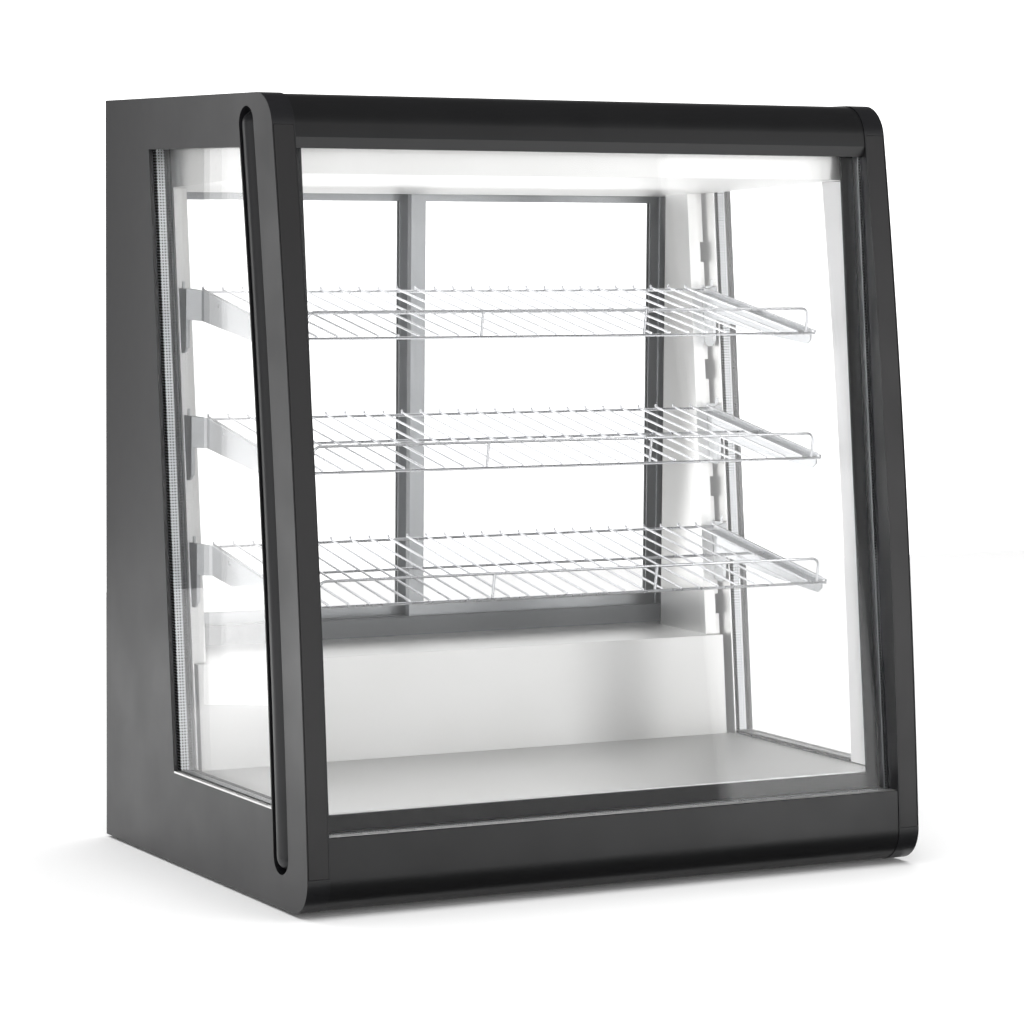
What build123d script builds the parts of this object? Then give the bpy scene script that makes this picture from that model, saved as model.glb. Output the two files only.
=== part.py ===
"""Countertop display fridge with curved side panels, tilted wire shelves and sliding rear doors.

The front faces -Y, the origin is on the ground under the middle of the case, and all sizes are millimetres.
Places in the case are given as a distance forward of the rear plane and a height above the panels' foot.
"""
import os
from math import atan, atan2, cos, sin, sqrt

from build123d import *

os.makedirs("parts", exist_ok=True)

# Case
width = 700.0
panel_thickness = 24.0
panel_height = 785.0
foot_height = 3.0
bottom_reach = 518.0
middle_reach = 481.8
top_reach = 423.7
top_corner_radius = 36.0
bottom_corner_radius = 34.0
sheet = 1.5
cover_sheet = 2.0
seat_gap = 0.3

# Side windows and their double glazing
window_drop = 52.5
window_top = panel_height - window_drop
window_bottom = 95.4
window_rear_at_bottom = 187.5
window_rear_lean = 0.1062
window_front_inset = 79.0
window_lip = 4.0
window_rebate = 8.0
pane = 4.0
pane_gap = 9.0
side_spacer_width = 4.0
gasket_thickness = 3.0

# Groove and half-round bar on each side
groove_inset = 60.0
groove_width = 34.0
groove_depth = 10.0
groove_low = 50.0
groove_drop = 30.0
groove_high = panel_height - groove_drop
bar_radius = 13.0

# Strip on the front edge of each panel
strip_low = 37.0
strip_drop = 31.0
strip_high = panel_height - strip_drop
strip_thickness = 2.0
strip_margin = 1.0
strip_shadow_gap = 0.6

# Slotted ledges
slot_pitch = 28.3
slot_length = 24.0
front_slot_width = 7.0
side_slot_width = 2.4
side_ledge_thickness = 2.0
ledge_height = 76.0
ledge_skirt = 12.0

# Covers between the panels
cover_inset = 1.0
cover_top = panel_height - cover_inset
cover_bottom = 0.5
top_cover_rear = 300.0
lip_edge_drop = 43.0
lip_edge_height = panel_height - lip_edge_drop
lip_tip_fall = 11.0
lip_tip_height = lip_edge_height - lip_tip_fall
lip_back = 9.0
lip_root_height = lip_tip_height + lip_back
lip_fold = 5.0
lip_inner_height = lip_root_height + lip_fold
top_cover_radius = 35.0
bottom_cover_radius = 33.0
bottom_cover_rear = 440.0

# Front glass
glass_setback = 7.04
glass_lean = 0.1076
glass_head_gap = 1.0
front_glass_bottom = 72.0
front_spacer_width = 4.0
front_gasket_side = 16.0
front_gasket_rise = 1.0

# Deck, rear box and base
deck_height = 92.5
box_side_gap = 8.5
box_height = 202.0
box_top_reach = 174.0
box_foot_reach = 185.0
deck_tuck = 15.0
rear_skin = 3.0
pan_bottom = 1.0
pan_sheet = 2.0
pan_flange = 12.0
foot_radius = 18.0
foot_sides = 18
foot_margin = 36.0
foot_rear = 40.0
foot_front = 420.0

# Ceiling housing and lamp
ceiling_drop = 95.7
ceiling_rear_height = panel_height - ceiling_drop
ceiling_rise = 0.05
ceiling_setback = 26.87
ceiling_side_gap = 1.0
header_rise = 22.7
shoulder_drop = 8.0
shoulder_run = 14.0
lamp_margin = 26.0
lamp_rise = 4.0
lamp_width = 18.0
lamp_depth = 6.0

# Liners and uprights
liner_thickness = 1.5
liner_front_margin = 4.0
jamb_run = 24.2
jamb_thickness = 5.0
upright_width = 18.0
upright_reach_at_box = 161.2
upright_lean = 0.1085
notch_height = 22.0
notch_width = 4.0
notch_fall = 353.7
notch_pitch = 65.4
notch_count = 7

# Door opening and sliding doors
sill_depth = 36.8
sill_rise = 20.5
lintel_rise = 0.7
door_thickness = 9.0
outer_track = 1.0
inner_track = 21.0
track_play = 0.5
door_foot_bite = 6.5
door_head_bite = 10.0
track_floor_gap = 0.5
door_edge_gap = 1.0
left_door_edge = 12.0
right_door_edge = -2.7
stile_width = 18.5
stile_rib = 6.0
stile_rib_height = 1.5
door_pane = 4.0
door_pane_bite = 6.0
pull_width = 9.0
pull_height = 70.0
pull_depth = 5.5
pull_edge = 2.5
pull_rise = 214.0

# Wire shelves, measured along the tilted wires
top_shelf_drop = 196.0
shelf_stand_off = 26.8
shelf_drop = 40.0
shelf_run = 230.0
shelf_step_down = 131.0
cross_wire = 2.5
wire_sides = 6
long_wire = 3.0
wire_pitch = 22.3
shelf_length = 236.5
shelf_side_gap = 1.2
long_wire_margin = 1.6
middle_wire_place = 113.5
guard_height = 24.0
guard_margin = 12.0
guard_bend = 8.0
guard_posts = (-96.0, 93.0)

# Shelf brackets
bracket_sheet = 2.0
hook_side_gap = 8.5
arm_gap = 0.2
joggle_start = 1.0
joggle_end = 8.0
hook_rise = 1.0
hook_fall = 66.0
hook_radius = 8.0
arm_root_fall = 31.4
arm_front = 220.0
arm_front_fall = 50.3
arm_tip = 213.0
arm_tip_fall = 55.1
arm_middle = 127.5
arm_middle_fall = 47.8
arm_hole = 51.0
arm_hole_fall = 15.3
arm_hole_radius = 2.5
flange_width = 12.0
tab_height = 16.0
tab_notch = 5
tab_length = 5.0
pin_width = 3.0
pin_place = -8.5
pin_height = 7.0

# Rear panel and controls
vent_slot = 70.0
vent_slot_height = 5.0
vent_columns = 5
vent_rows = 9
vent_column_pitch = 82.0
vent_row_pitch = 14.0
vent_margin = 37.0
vent_middle_height = 100.0
tray_margin = 26.0
tray_middle_height = 125.0
tray_width = 120.0
tray_height = 64.0
tray_depth = 14.0
control_height = -5.0
rocker_place = -40.0
rocker_width = 13.0
rocker_height = 21.0
rocker_depth = 8.0
rocker_play = 0.7
rocker_bevel = 1.5
knob_place = -4.0
knob_radius = 13.0
knob_flutes = 18
knob_thickness = 5.0
knob_grip = 5.0
knob_grip_width = 6.0
knob_shaft = 3.0
knob_shaft_length = 8.0
knob_gap = 0.4
inlet_place = 36.0
inlet_width = 30.0
inlet_height = 24.0
inlet_depth = 12.0
inlet_wall = 3.0
inlet_floor = 2.0
inlet_pin = 5.0
inlet_pin_width = 2.0
inlet_pin_pitch = 7.0

# Cooling machine in the rear box
machine_reach = 92.0
compressor_margin = 136.0
compressor_radius = 60.0
compressor_height = 150.0
compressor_bevel = 22.0
compressor_sides = 24
compressor_plate = 3.0
compressor_plate_width = 150.0
compressor_plate_depth = 124.0
port_radius = 6.0
port_height = 8.0
pipe_radius = 4.0
pipe_sides = 8
pipe_level = 184.0
pipe_bend = 14.0
coil_margin = 160.0
coil_thickness = 32.0
coil_width = 136.0
coil_height = 140.0
coil_fin = 2.0
coil_fin_pitch = 8.0
coil_fin_count = 16
coil_root = 6.0
fan_coil_gap = 13.0
fan_plate_size = 136.0
fan_plate_height = 148.0
fan_height = 77.0
fan_hole = 58.0
fan_sides = 32
fan_collar = 3.0
fan_collar_length = 24.0
motor_radius = 18.0
motor_length = 26.0
motor_strut = 6.0
fan_shaft = 3.0
fan_shaft_length = 16.0
fan_hub_radius = 19.0
fan_hub_length = 12.0
fan_hub_gap = 4.0
fan_blade_count = 5
fan_blade_width = 32.0
fan_blade_tip = 54.0
fan_blade_sheet = 1.5
fan_blade_pitch = 32.0

# Sizes that follow
half_width = width / 2
inner_half = half_width - panel_thickness
lip_inner_x = half_width - window_lip
outer_pane_inner_x = lip_inner_x - pane
inner_pane_outer_x = outer_pane_inner_x - pane_gap
inner_pane_inner_x = inner_pane_outer_x - pane
unit_thickness = pane + pane_gap + pane
glass_tilt = cos(atan(glass_lean))
shelf_tilt = atan2(shelf_drop, shelf_run)
pan_top = pan_bottom + pan_sheet
top_sheet_low = cover_top - cover_sheet
front_glass_top = lip_root_height - glass_head_gap
front_gasket_top = lip_tip_height + front_gasket_rise
box_half_width = inner_half - box_side_gap
header_height = ceiling_rear_height + header_rise
sill_height = box_height + sill_rise
lintel_height = ceiling_rear_height + lintel_rise
jamb_reach = sill_depth + jamb_run
upright_outer = inner_half - jamb_thickness
upright_inner = upright_outer - upright_width
arm_side = upright_inner + arm_gap
hook_side = inner_half - hook_side_gap
shelf_half_width = arm_side - shelf_side_gap
shelf_rear_height = panel_height - top_shelf_drop
shelf_step_forward = upright_lean * shelf_step_down

front_edge = ThreePointArc((bottom_reach, 0), (middle_reach, panel_height / 2), (top_reach, panel_height))
front_centre = front_edge.arc_center
front_radius = front_edge.radius


def front_reach(height, inset):
    """Distance forward of the rear plane of a curve that runs inside the front edge."""
    rise = height - front_centre.Y
    return front_centre.X + sqrt((front_radius - inset) ** 2 - rise**2)


rear_y = front_reach(bottom_corner_radius, 0) / 2
glass_reach = front_reach(lip_tip_height, glass_setback)
ceiling_reach = glass_reach - ceiling_setback


def spot(forward, height):
    """Point of a side view, from its distance forward of the rear plane and its height on the panel."""
    return rear_y - forward, foot_height + height


def on_front(height, inset):
    """Point of a side view on the curve that runs inside the front edge."""
    return spot(front_reach(height, inset), height)


def front_line(low, high, inset):
    """Arc that runs inside the front edge, between two heights."""
    return ThreePointArc(on_front(low, inset), on_front((low + high) / 2, inset), on_front(high, inset))


def on_glass(height, inset):
    """Point of a side view on a plane inside the outer face of the leaning front glass."""
    return spot(glass_reach + glass_lean * (lip_tip_height - height) - inset / glass_tilt, height)


def window_rear(height):
    return window_rear_at_bottom - window_rear_lean * (height - window_bottom)


def ceiling_level(forward):
    return ceiling_rear_height + ceiling_rise * (forward - sill_depth)


def upright_reach(height):
    return upright_reach_at_box - upright_lean * (height - box_height)


def outline(*points):
    """Closed outline through the points, in the open sketch."""
    with BuildLine() as path:
        Polyline(*points, close=True)
    make_face(path.edges())


def front_outline(low, high, inset, rear_low, rear_high):
    """Outline with a curved front edge and a straight rear edge, in the open sketch."""
    with BuildLine() as path:
        Polyline(on_front(low, inset), rear_low, rear_high, on_front(high, inset))
        front_line(low, high, inset)
    make_face(path.edges())


def window_outline(margin, front_inset):
    """Outline of the side window, grown at its top, rear and bottom."""
    low = window_bottom - margin
    high = window_top + margin
    rear_low = spot(window_rear(low) - margin, low)
    rear_high = spot(window_rear(high) - margin, high)
    front_outline(low, high, front_inset, rear_low, rear_high)


def front_slab(low, high, near, far):
    """Outline of a slab that lies between two insets of the leaning front glass."""
    outline(on_glass(low, near), on_glass(high, near), on_glass(high, far), on_glass(low, far))


def write(piece, label):
    piece.part.label = label
    export_step(piece.part, f"parts/{label}.step")


def write_left(piece, label):
    """Mirrored copy of a right-hand piece."""
    with BuildPart() as left:
        mirror(piece.part, about=Plane.YZ)
    write(left, label)


# Side panels
side_ledge_low = window_bottom - side_ledge_thickness
side_ledge_rear = window_rear(window_bottom)
side_ledge_front = front_reach(window_bottom, window_front_inset) - seat_gap
side_ledge_length = side_ledge_front - side_ledge_rear
side_slot_count = int(side_ledge_length / slot_pitch)
groove_line = front_line(groove_low, groove_high, groove_inset)


def side_ledge_outline():
    outline(
        spot(side_ledge_rear, side_ledge_low),
        spot(side_ledge_rear, window_bottom),
        spot(side_ledge_front, window_bottom),
        spot(side_ledge_front, side_ledge_low),
    )


def strip_outline(near, far):
    """Outline of the band between two insets of the front edge, over the height of the strip."""
    with BuildLine() as path:
        front_line(strip_low, strip_high, near)
        front_line(strip_low, strip_high, far)
        Line(on_front(strip_low, near), on_front(strip_low, far))
        Line(on_front(strip_high, near), on_front(strip_high, far))
    make_face(path.edges())


with BuildPart() as right_side_panel:
    with BuildSketch(Plane.YZ.offset(inner_half)) as panel_outline:
        front_outline(0, panel_height, 0, spot(0, 0), spot(0, panel_height))
        fillet(panel_outline.vertices().sort_by(Axis.X)[0], bottom_corner_radius)
        fillet(panel_outline.vertices().sort_by(Axis.Y)[-2:].sort_by(Axis.X)[0], top_corner_radius)
    extrude(amount=panel_thickness)
    with BuildSketch(Plane.YZ.offset(inner_half)):
        window_outline(window_rebate, window_front_inset)
    extrude(amount=panel_thickness - window_lip, mode=Mode.SUBTRACT)
    with BuildSketch(Plane.YZ.offset(inner_half)):
        window_outline(0, window_front_inset)
    extrude(amount=panel_thickness, mode=Mode.SUBTRACT)
    with BuildSketch(Plane.YZ.offset(lip_inner_x)):
        side_ledge_outline()
    extrude(amount=window_lip, mode=Mode.SUBTRACT)
    with BuildSketch(Plane.YZ.offset(half_width)):
        SlotArc(groove_line, groove_width)
    extrude(amount=-groove_depth, mode=Mode.SUBTRACT)
    with BuildSketch(Plane.YZ.offset(inner_half + strip_margin)):
        strip_outline(0, strip_thickness)
    extrude(amount=panel_thickness - strip_margin - strip_margin, mode=Mode.SUBTRACT)
write(right_side_panel, "right_side_panel")
write_left(right_side_panel, "left_side_panel")

# Strips on the front edges
with BuildPart() as front_edge_strips:
    with BuildSketch(Plane.YZ.offset(inner_half + strip_margin)):
        strip_outline(0, strip_thickness - seat_gap)
    extrude(amount=panel_thickness - strip_margin - strip_margin - strip_shadow_gap)
    mirror(about=Plane.YZ)
write(front_edge_strips, "front_edge_strips")

# Half-round bars and their end caps
bar_back_x = half_width - groove_depth
bar_foot = Vector(bar_back_x, *on_front(groove_low, groove_inset))
bar_head = Vector(bar_back_x, *on_front(groove_high, groove_inset))
bar_path = Plane.YZ.offset(bar_back_x) * groove_line
foot_plane = Plane(origin=bar_foot, x_dir=(1, 0, 0), z_dir=bar_path % 0)
head_plane = Plane(origin=bar_head, x_dir=(1, 0, 0), z_dir=bar_path % 1)
floor_plane = Plane(origin=bar_foot, x_dir=(0, 1, 0), z_dir=(1, 0, 0))

with BuildPart() as right_trim_bar:
    with BuildSketch(foot_plane) as bar_section:
        Circle(bar_radius)
        split(bisect_by=Plane.YZ, keep=Keep.TOP)
    sweep(path=bar_path)
write(right_trim_bar, "right_trim_bar")
write_left(right_trim_bar, "left_trim_bar")

with BuildPart() as bar_end_caps:
    with Locations(bar_foot, bar_head):
        Sphere(bar_radius)
    split(bisect_by=floor_plane, keep=Keep.TOP)
    with BuildSketch(foot_plane):
        Rectangle(4 * bar_radius, 4 * bar_radius)
    extrude(amount=(bar_head - bar_foot).length / 2, mode=Mode.SUBTRACT)
    with BuildSketch(head_plane):
        Rectangle(4 * bar_radius, 4 * bar_radius)
    extrude(amount=-(bar_head - bar_foot).length / 2, mode=Mode.SUBTRACT)
    mirror(about=Plane.YZ)
write(bar_end_caps, "bar_end_caps")

# Slotted ledges under the side windows
with BuildPart() as side_vent_ledges:
    with BuildSketch(Plane.YZ.offset(lip_inner_x)):
        side_ledge_outline()
    extrude(amount=window_lip)
    side_slot_y = rear_y - (side_ledge_rear + side_ledge_front) / 2
    side_slot_x = lip_inner_x + window_lip / 2
    slot_plane = Plane(origin=(side_slot_x, side_slot_y, foot_height + window_bottom))
    with BuildSketch(slot_plane):
        with GridLocations(0, slot_pitch, 1, side_slot_count):
            Rectangle(side_slot_width, slot_length)
    extrude(amount=-side_ledge_thickness, mode=Mode.SUBTRACT)
    mirror(about=Plane.YZ)
write(side_vent_ledges, "side_vent_ledges")


# Side glazing
def write_side_pane(inner_x, side):
    with BuildPart() as side_pane:
        with BuildSketch(Plane.YZ.offset(inner_x)):
            window_outline(window_rebate, window_front_inset + seat_gap)
        extrude(amount=pane)
    write(side_pane, f"right_{side}_pane")
    write_left(side_pane, f"left_{side}_pane")


def write_side_ring(inner_x, thickness, label):
    """Ring that follows the edge of the side panes."""
    with BuildPart() as ring:
        with BuildSketch(Plane.YZ.offset(inner_x)):
            window_outline(window_rebate, window_front_inset + seat_gap)
        extrude(amount=thickness)
        with BuildSketch(Plane.YZ.offset(inner_x)):
            window_outline(0, window_front_inset + side_spacer_width)
        extrude(amount=thickness, mode=Mode.SUBTRACT)
        mirror(about=Plane.YZ)
    write(ring, label)


write_side_pane(outer_pane_inner_x, "outer")
write_side_pane(inner_pane_inner_x, "inner")
write_side_ring(inner_pane_outer_x, pane_gap, "side_spacers")
write_side_ring(inner_half, gasket_thickness, "side_gaskets")

# Front glazing
with BuildPart() as front_outer_pane:
    with BuildSketch(Plane.YZ):
        front_slab(front_glass_bottom, front_glass_top, 0, pane)
    extrude(amount=inner_half, both=True)
write(front_outer_pane, "front_outer_pane")

with BuildPart() as front_inner_pane:
    with BuildSketch(Plane.YZ):
        front_slab(front_glass_bottom, front_glass_top, pane + pane_gap, unit_thickness)
    extrude(amount=inner_half, both=True)
write(front_inner_pane, "front_inner_pane")

with BuildPart() as front_spacer:
    with BuildSketch(Plane.YZ):
        front_slab(front_glass_bottom, front_glass_top, pane, pane + pane_gap)
    extrude(amount=inner_half, both=True)
    with BuildSketch(Plane.YZ):
        front_slab(front_glass_bottom + front_spacer_width, front_glass_top - front_spacer_width, pane, pane + pane_gap)
    extrude(amount=inner_half - front_spacer_width, both=True, mode=Mode.SUBTRACT)
write(front_spacer, "front_spacer")

with BuildPart() as front_gasket:
    with BuildSketch(Plane.YZ):
        front_slab(front_glass_bottom, front_glass_top, unit_thickness, unit_thickness + gasket_thickness)
    extrude(amount=inner_half, both=True)
    with BuildSketch(Plane.YZ):
        front_slab(deck_height - sheet, front_gasket_top, unit_thickness, unit_thickness + gasket_thickness)
    extrude(amount=inner_half - front_gasket_side, both=True, mode=Mode.SUBTRACT)
write(front_gasket, "front_gasket")

# Covers between the panels
with BuildPart() as top_cover:
    with BuildSketch(Plane.YZ) as skin:
        with BuildLine():
            Polyline(
                on_front(lip_edge_height, cover_inset),
                on_glass(lip_tip_height, 0),
                on_glass(lip_root_height, 0),
                spot(top_cover_rear, lip_root_height),
                spot(top_cover_rear, cover_top),
                on_front(cover_top, cover_inset),
            )
            front_line(lip_edge_height, cover_top, cover_inset)
        make_face()
        fillet(skin.vertices().sort_by(Axis.Y)[-2:].sort_by(Axis.X)[0], top_cover_radius)
        with BuildSketch(mode=Mode.PRIVATE) as hollow:
            with BuildLine():
                Polyline(
                    on_front(lip_inner_height, cover_inset + cover_sheet),
                    on_glass(lip_root_height, 0),
                    spot(top_cover_rear, lip_root_height),
                    spot(top_cover_rear, top_sheet_low),
                    on_front(top_sheet_low, cover_inset + cover_sheet),
                )
                front_line(lip_inner_height, top_sheet_low, cover_inset + cover_sheet)
            make_face()
            fillet(hollow.vertices().sort_by(Axis.Y)[-2:].sort_by(Axis.X)[0], top_cover_radius - cover_sheet)
        add(hollow.sketch, mode=Mode.SUBTRACT)
    extrude(amount=inner_half, both=True)
write(top_cover, "top_cover")

cover_floor_top = cover_bottom + cover_sheet
with BuildPart() as bottom_cover:
    with BuildSketch(Plane.YZ) as skin:
        front_outline(
            cover_bottom,
            ledge_height,
            cover_inset,
            spot(bottom_cover_rear, cover_bottom),
            spot(bottom_cover_rear, ledge_height),
        )
        fillet(skin.vertices().sort_by(Axis.X)[0], bottom_cover_radius)
        with BuildSketch(mode=Mode.PRIVATE) as hollow:
            front_outline(
                cover_floor_top,
                ledge_height,
                cover_inset + cover_sheet,
                spot(bottom_cover_rear, cover_floor_top),
                spot(bottom_cover_rear, ledge_height),
            )
            fillet(hollow.vertices().sort_by(Axis.X)[0], bottom_cover_radius - cover_sheet)
        add(hollow.sketch, mode=Mode.SUBTRACT)
    extrude(amount=inner_half, both=True)
write(bottom_cover, "bottom_cover")

with BuildPart() as top_panel:
    with BuildSketch(Plane.YZ):
        outline(
            spot(0, top_sheet_low),
            spot(top_cover_rear, top_sheet_low),
            spot(top_cover_rear, cover_top),
            spot(0, cover_top),
        )
    extrude(amount=inner_half, both=True)
write(top_panel, "top_panel")

# Slotted ledge in front of the glass
ledge_front = front_reach(ledge_height, cover_inset + cover_sheet) - seat_gap
ledge_rear = rear_y - on_glass(ledge_height - cover_sheet, 0)[0] + seat_gap
ledge_skirt_low = ledge_height - ledge_skirt
with BuildPart() as front_vent_ledge:
    with BuildSketch(Plane.YZ):
        outline(
            spot(ledge_rear, ledge_height),
            spot(ledge_front, ledge_height),
            spot(ledge_front, ledge_skirt_low),
            spot(ledge_front - sheet, ledge_skirt_low),
            spot(ledge_front - sheet, ledge_height - cover_sheet),
            spot(ledge_rear, ledge_height - cover_sheet),
        )
    extrude(amount=inner_half, both=True)
    front_slot_y = rear_y - (ledge_rear + ledge_front - sheet) / 2
    with BuildSketch(Plane(origin=(0, front_slot_y, foot_height + ledge_height))):
        with GridLocations(slot_pitch, 0, int(2 * inner_half / slot_pitch) - 1, 1):
            Rectangle(slot_length, front_slot_width)
    extrude(amount=-cover_sheet, mode=Mode.SUBTRACT)
write(front_vent_ledge, "front_vent_ledge")

# Deck, duct cover and base
deck_rear = box_foot_reach - deck_tuck
deck_inset = unit_thickness + gasket_thickness + seat_gap
with BuildPart() as deck_plate:
    with BuildSketch(Plane.YZ):
        outline(
            spot(deck_rear, deck_height),
            on_glass(deck_height, deck_inset),
            on_glass(deck_height - sheet, deck_inset),
            spot(deck_rear, deck_height - sheet),
        )
    extrude(amount=inner_half, both=True)
write(deck_plate, "deck_plate")

with BuildPart() as duct_cover:
    with BuildSketch(Plane.YZ):
        outline(
            spot(rear_skin, box_height),
            spot(box_top_reach, box_height),
            spot(box_foot_reach, deck_height),
            spot(rear_skin + sheet, deck_height),
            spot(rear_skin + sheet, box_height - sheet),
            spot(rear_skin, box_height - sheet),
        )
    extrude(amount=box_half_width, both=True)
    with BuildSketch(Plane.YZ):
        outline(
            spot(rear_skin, box_height - sheet),
            spot(box_top_reach - sheet, box_height - sheet),
            spot(box_foot_reach - sheet, deck_height),
            spot(rear_skin, deck_height),
        )
    extrude(amount=box_half_width - sheet, both=True, mode=Mode.SUBTRACT)
write(duct_cover, "duct_cover")

with BuildPart() as base_pan:
    with BuildSketch(Plane.YZ):
        outline(
            spot(rear_skin + sheet, pan_bottom),
            spot(rear_skin + sheet, pan_top + pan_flange),
            spot(rear_skin + sheet + pan_sheet, pan_top + pan_flange),
            spot(rear_skin + sheet + pan_sheet, pan_top),
            spot(bottom_cover_rear - pan_sheet, pan_top),
            spot(bottom_cover_rear - pan_sheet, pan_top + pan_flange),
            spot(bottom_cover_rear, pan_top + pan_flange),
            spot(bottom_cover_rear, pan_bottom),
        )
    extrude(amount=inner_half, both=True)
write(base_pan, "base_pan")

foot_middle_y = rear_y - (foot_rear + foot_front) / 2
with BuildPart() as feet:
    with BuildSketch(Plane(origin=(0, foot_middle_y, 0))):
        with GridLocations(2 * (inner_half - foot_margin), foot_front - foot_rear, 2, 2):
            RegularPolygon(foot_radius, foot_sides)
    extrude(amount=foot_height + pan_bottom)
write(feet, "feet")

# Ceiling housing and lamp
ceiling_half_width = inner_half - ceiling_side_gap
with BuildPart() as ceiling_housing:
    with BuildSketch(Plane.YZ):
        outline(
            spot(0, top_sheet_low),
            spot(0, header_height),
            spot(sill_depth, header_height),
            spot(sill_depth, ceiling_level(sill_depth)),
            spot(ceiling_reach, ceiling_level(ceiling_reach)),
            spot(ceiling_reach, top_sheet_low - shoulder_drop),
            spot(ceiling_reach - shoulder_run, top_sheet_low),
        )
    extrude(amount=ceiling_half_width, both=True)
    with BuildSketch(Plane.YZ):
        outline(
            spot(sheet, top_sheet_low),
            spot(sheet, header_height + sheet),
            spot(sill_depth + sheet, header_height + sheet),
            spot(sill_depth + sheet, ceiling_level(sill_depth) + sheet),
            spot(ceiling_reach - sheet, ceiling_level(ceiling_reach) + sheet),
            spot(ceiling_reach - sheet, top_sheet_low - shoulder_drop - sheet),
            spot(ceiling_reach - shoulder_run - sheet, top_sheet_low),
        )
    extrude(amount=ceiling_half_width - sheet, both=True, mode=Mode.SUBTRACT)
write(ceiling_housing, "ceiling_housing")

lamp_low = lip_root_height + lamp_rise
lamp_high = lamp_low + lamp_width
with BuildPart() as lamp_diffuser:
    with BuildSketch(Plane.YZ):
        outline(
            spot(ceiling_reach, lamp_low),
            spot(ceiling_reach, lamp_high),
            spot(ceiling_reach + lamp_depth, lamp_high),
            spot(ceiling_reach + lamp_depth, lamp_low),
        )
    extrude(amount=inner_half - lamp_margin, both=True)
write(lamp_diffuser, "lamp_diffuser")

# Liners and uprights
liner_low_reach = window_rear(deck_height) + liner_front_margin
liner_high_reach = window_rear(ceiling_rear_height) + liner_front_margin
with BuildPart() as right_liner:
    with BuildSketch(Plane.YZ.offset(inner_half)):
        outline(
            spot(jamb_reach, deck_height),
            spot(jamb_reach, ceiling_level(jamb_reach)),
            spot(liner_high_reach, ceiling_level(liner_high_reach)),
            spot(liner_low_reach, deck_height),
        )
    extrude(amount=-liner_thickness)
write(right_liner, "right_liner")
write_left(right_liner, "left_liner")

upright_top_reach = upright_reach(ceiling_level(jamb_reach))
upright_skin_top = spot(upright_top_reach - sheet, ceiling_level(upright_top_reach))
with BuildPart() as right_upright:
    with BuildSketch(Plane.YZ.offset(upright_inner)):
        outline(
            spot(jamb_reach, box_height),
            spot(jamb_reach, ceiling_level(jamb_reach)),
            spot(upright_top_reach, ceiling_level(upright_top_reach)),
            spot(upright_reach(box_height), box_height),
        )
    extrude(amount=upright_outer - upright_inner)
    with BuildSketch(Plane.YZ.offset(upright_inner + sheet)):
        outline(
            spot(jamb_reach, box_height),
            spot(jamb_reach, ceiling_level(jamb_reach)),
            upright_skin_top,
            spot(upright_reach(box_height) - sheet, box_height),
        )
    extrude(amount=upright_outer - upright_inner, mode=Mode.SUBTRACT)
    notch_x = upright_outer - notch_width / 2
    notch_middle = foot_height + shelf_rear_height - notch_fall + notch_pitch * (notch_count - 1) / 2
    with BuildSketch(Plane(origin=(notch_x, rear_y, notch_middle), x_dir=(1, 0, 0), z_dir=(0, -1, 0))):
        with GridLocations(0, notch_pitch, 1, notch_count):
            Rectangle(notch_width, notch_height)
    extrude(amount=2 * upright_reach_at_box, mode=Mode.SUBTRACT)
write(right_upright, "right_upright")
write_left(right_upright, "left_upright")

# Door opening with its two tracks
opening_half = inner_half - jamb_thickness
door_foot = sill_height - door_foot_bite
door_head = lintel_height + door_head_bite
track_low = door_foot - track_floor_gap
track_high = door_head + track_floor_gap
with BuildPart() as door_frame:
    with BuildSketch(Plane.YZ):
        outline(
            spot(0, box_height),
            spot(0, header_height),
            spot(sill_depth, header_height),
            spot(sill_depth, ceiling_level(sill_depth)),
            spot(jamb_reach, ceiling_level(jamb_reach)),
            spot(jamb_reach, box_height),
        )
    extrude(amount=inner_half, both=True)
    with BuildSketch(Plane.YZ):
        outline(
            spot(0, sill_height),
            spot(0, lintel_height),
            spot(sill_depth, lintel_height),
            spot(sill_depth, header_height),
            spot(jamb_reach, header_height),
            spot(jamb_reach, box_height),
            spot(sill_depth, box_height),
            spot(sill_depth, sill_height),
        )
    extrude(amount=opening_half, both=True, mode=Mode.SUBTRACT)
    for track in (outer_track, inner_track):
        with BuildSketch(Plane.YZ):
            outline(
                spot(track - track_play, track_low),
                spot(track - track_play, track_high),
                spot(track + door_thickness + track_play, track_high),
                spot(track + door_thickness + track_play, track_low),
            )
        extrude(amount=opening_half, both=True, mode=Mode.SUBTRACT)
write(door_frame, "door_frame")


# Sliding doors
def door_plane(track):
    """Plane of a door's rear face, which looks forward."""
    return Plane(origin=(0, rear_y - track, foot_height), x_dir=(1, 0, 0), z_dir=(0, -1, 0))


def door_rectangle(left, right, low, high):
    with Locations(((left + right) / 2, (low + high) / 2)):
        Rectangle(right - left, high - low)


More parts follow.
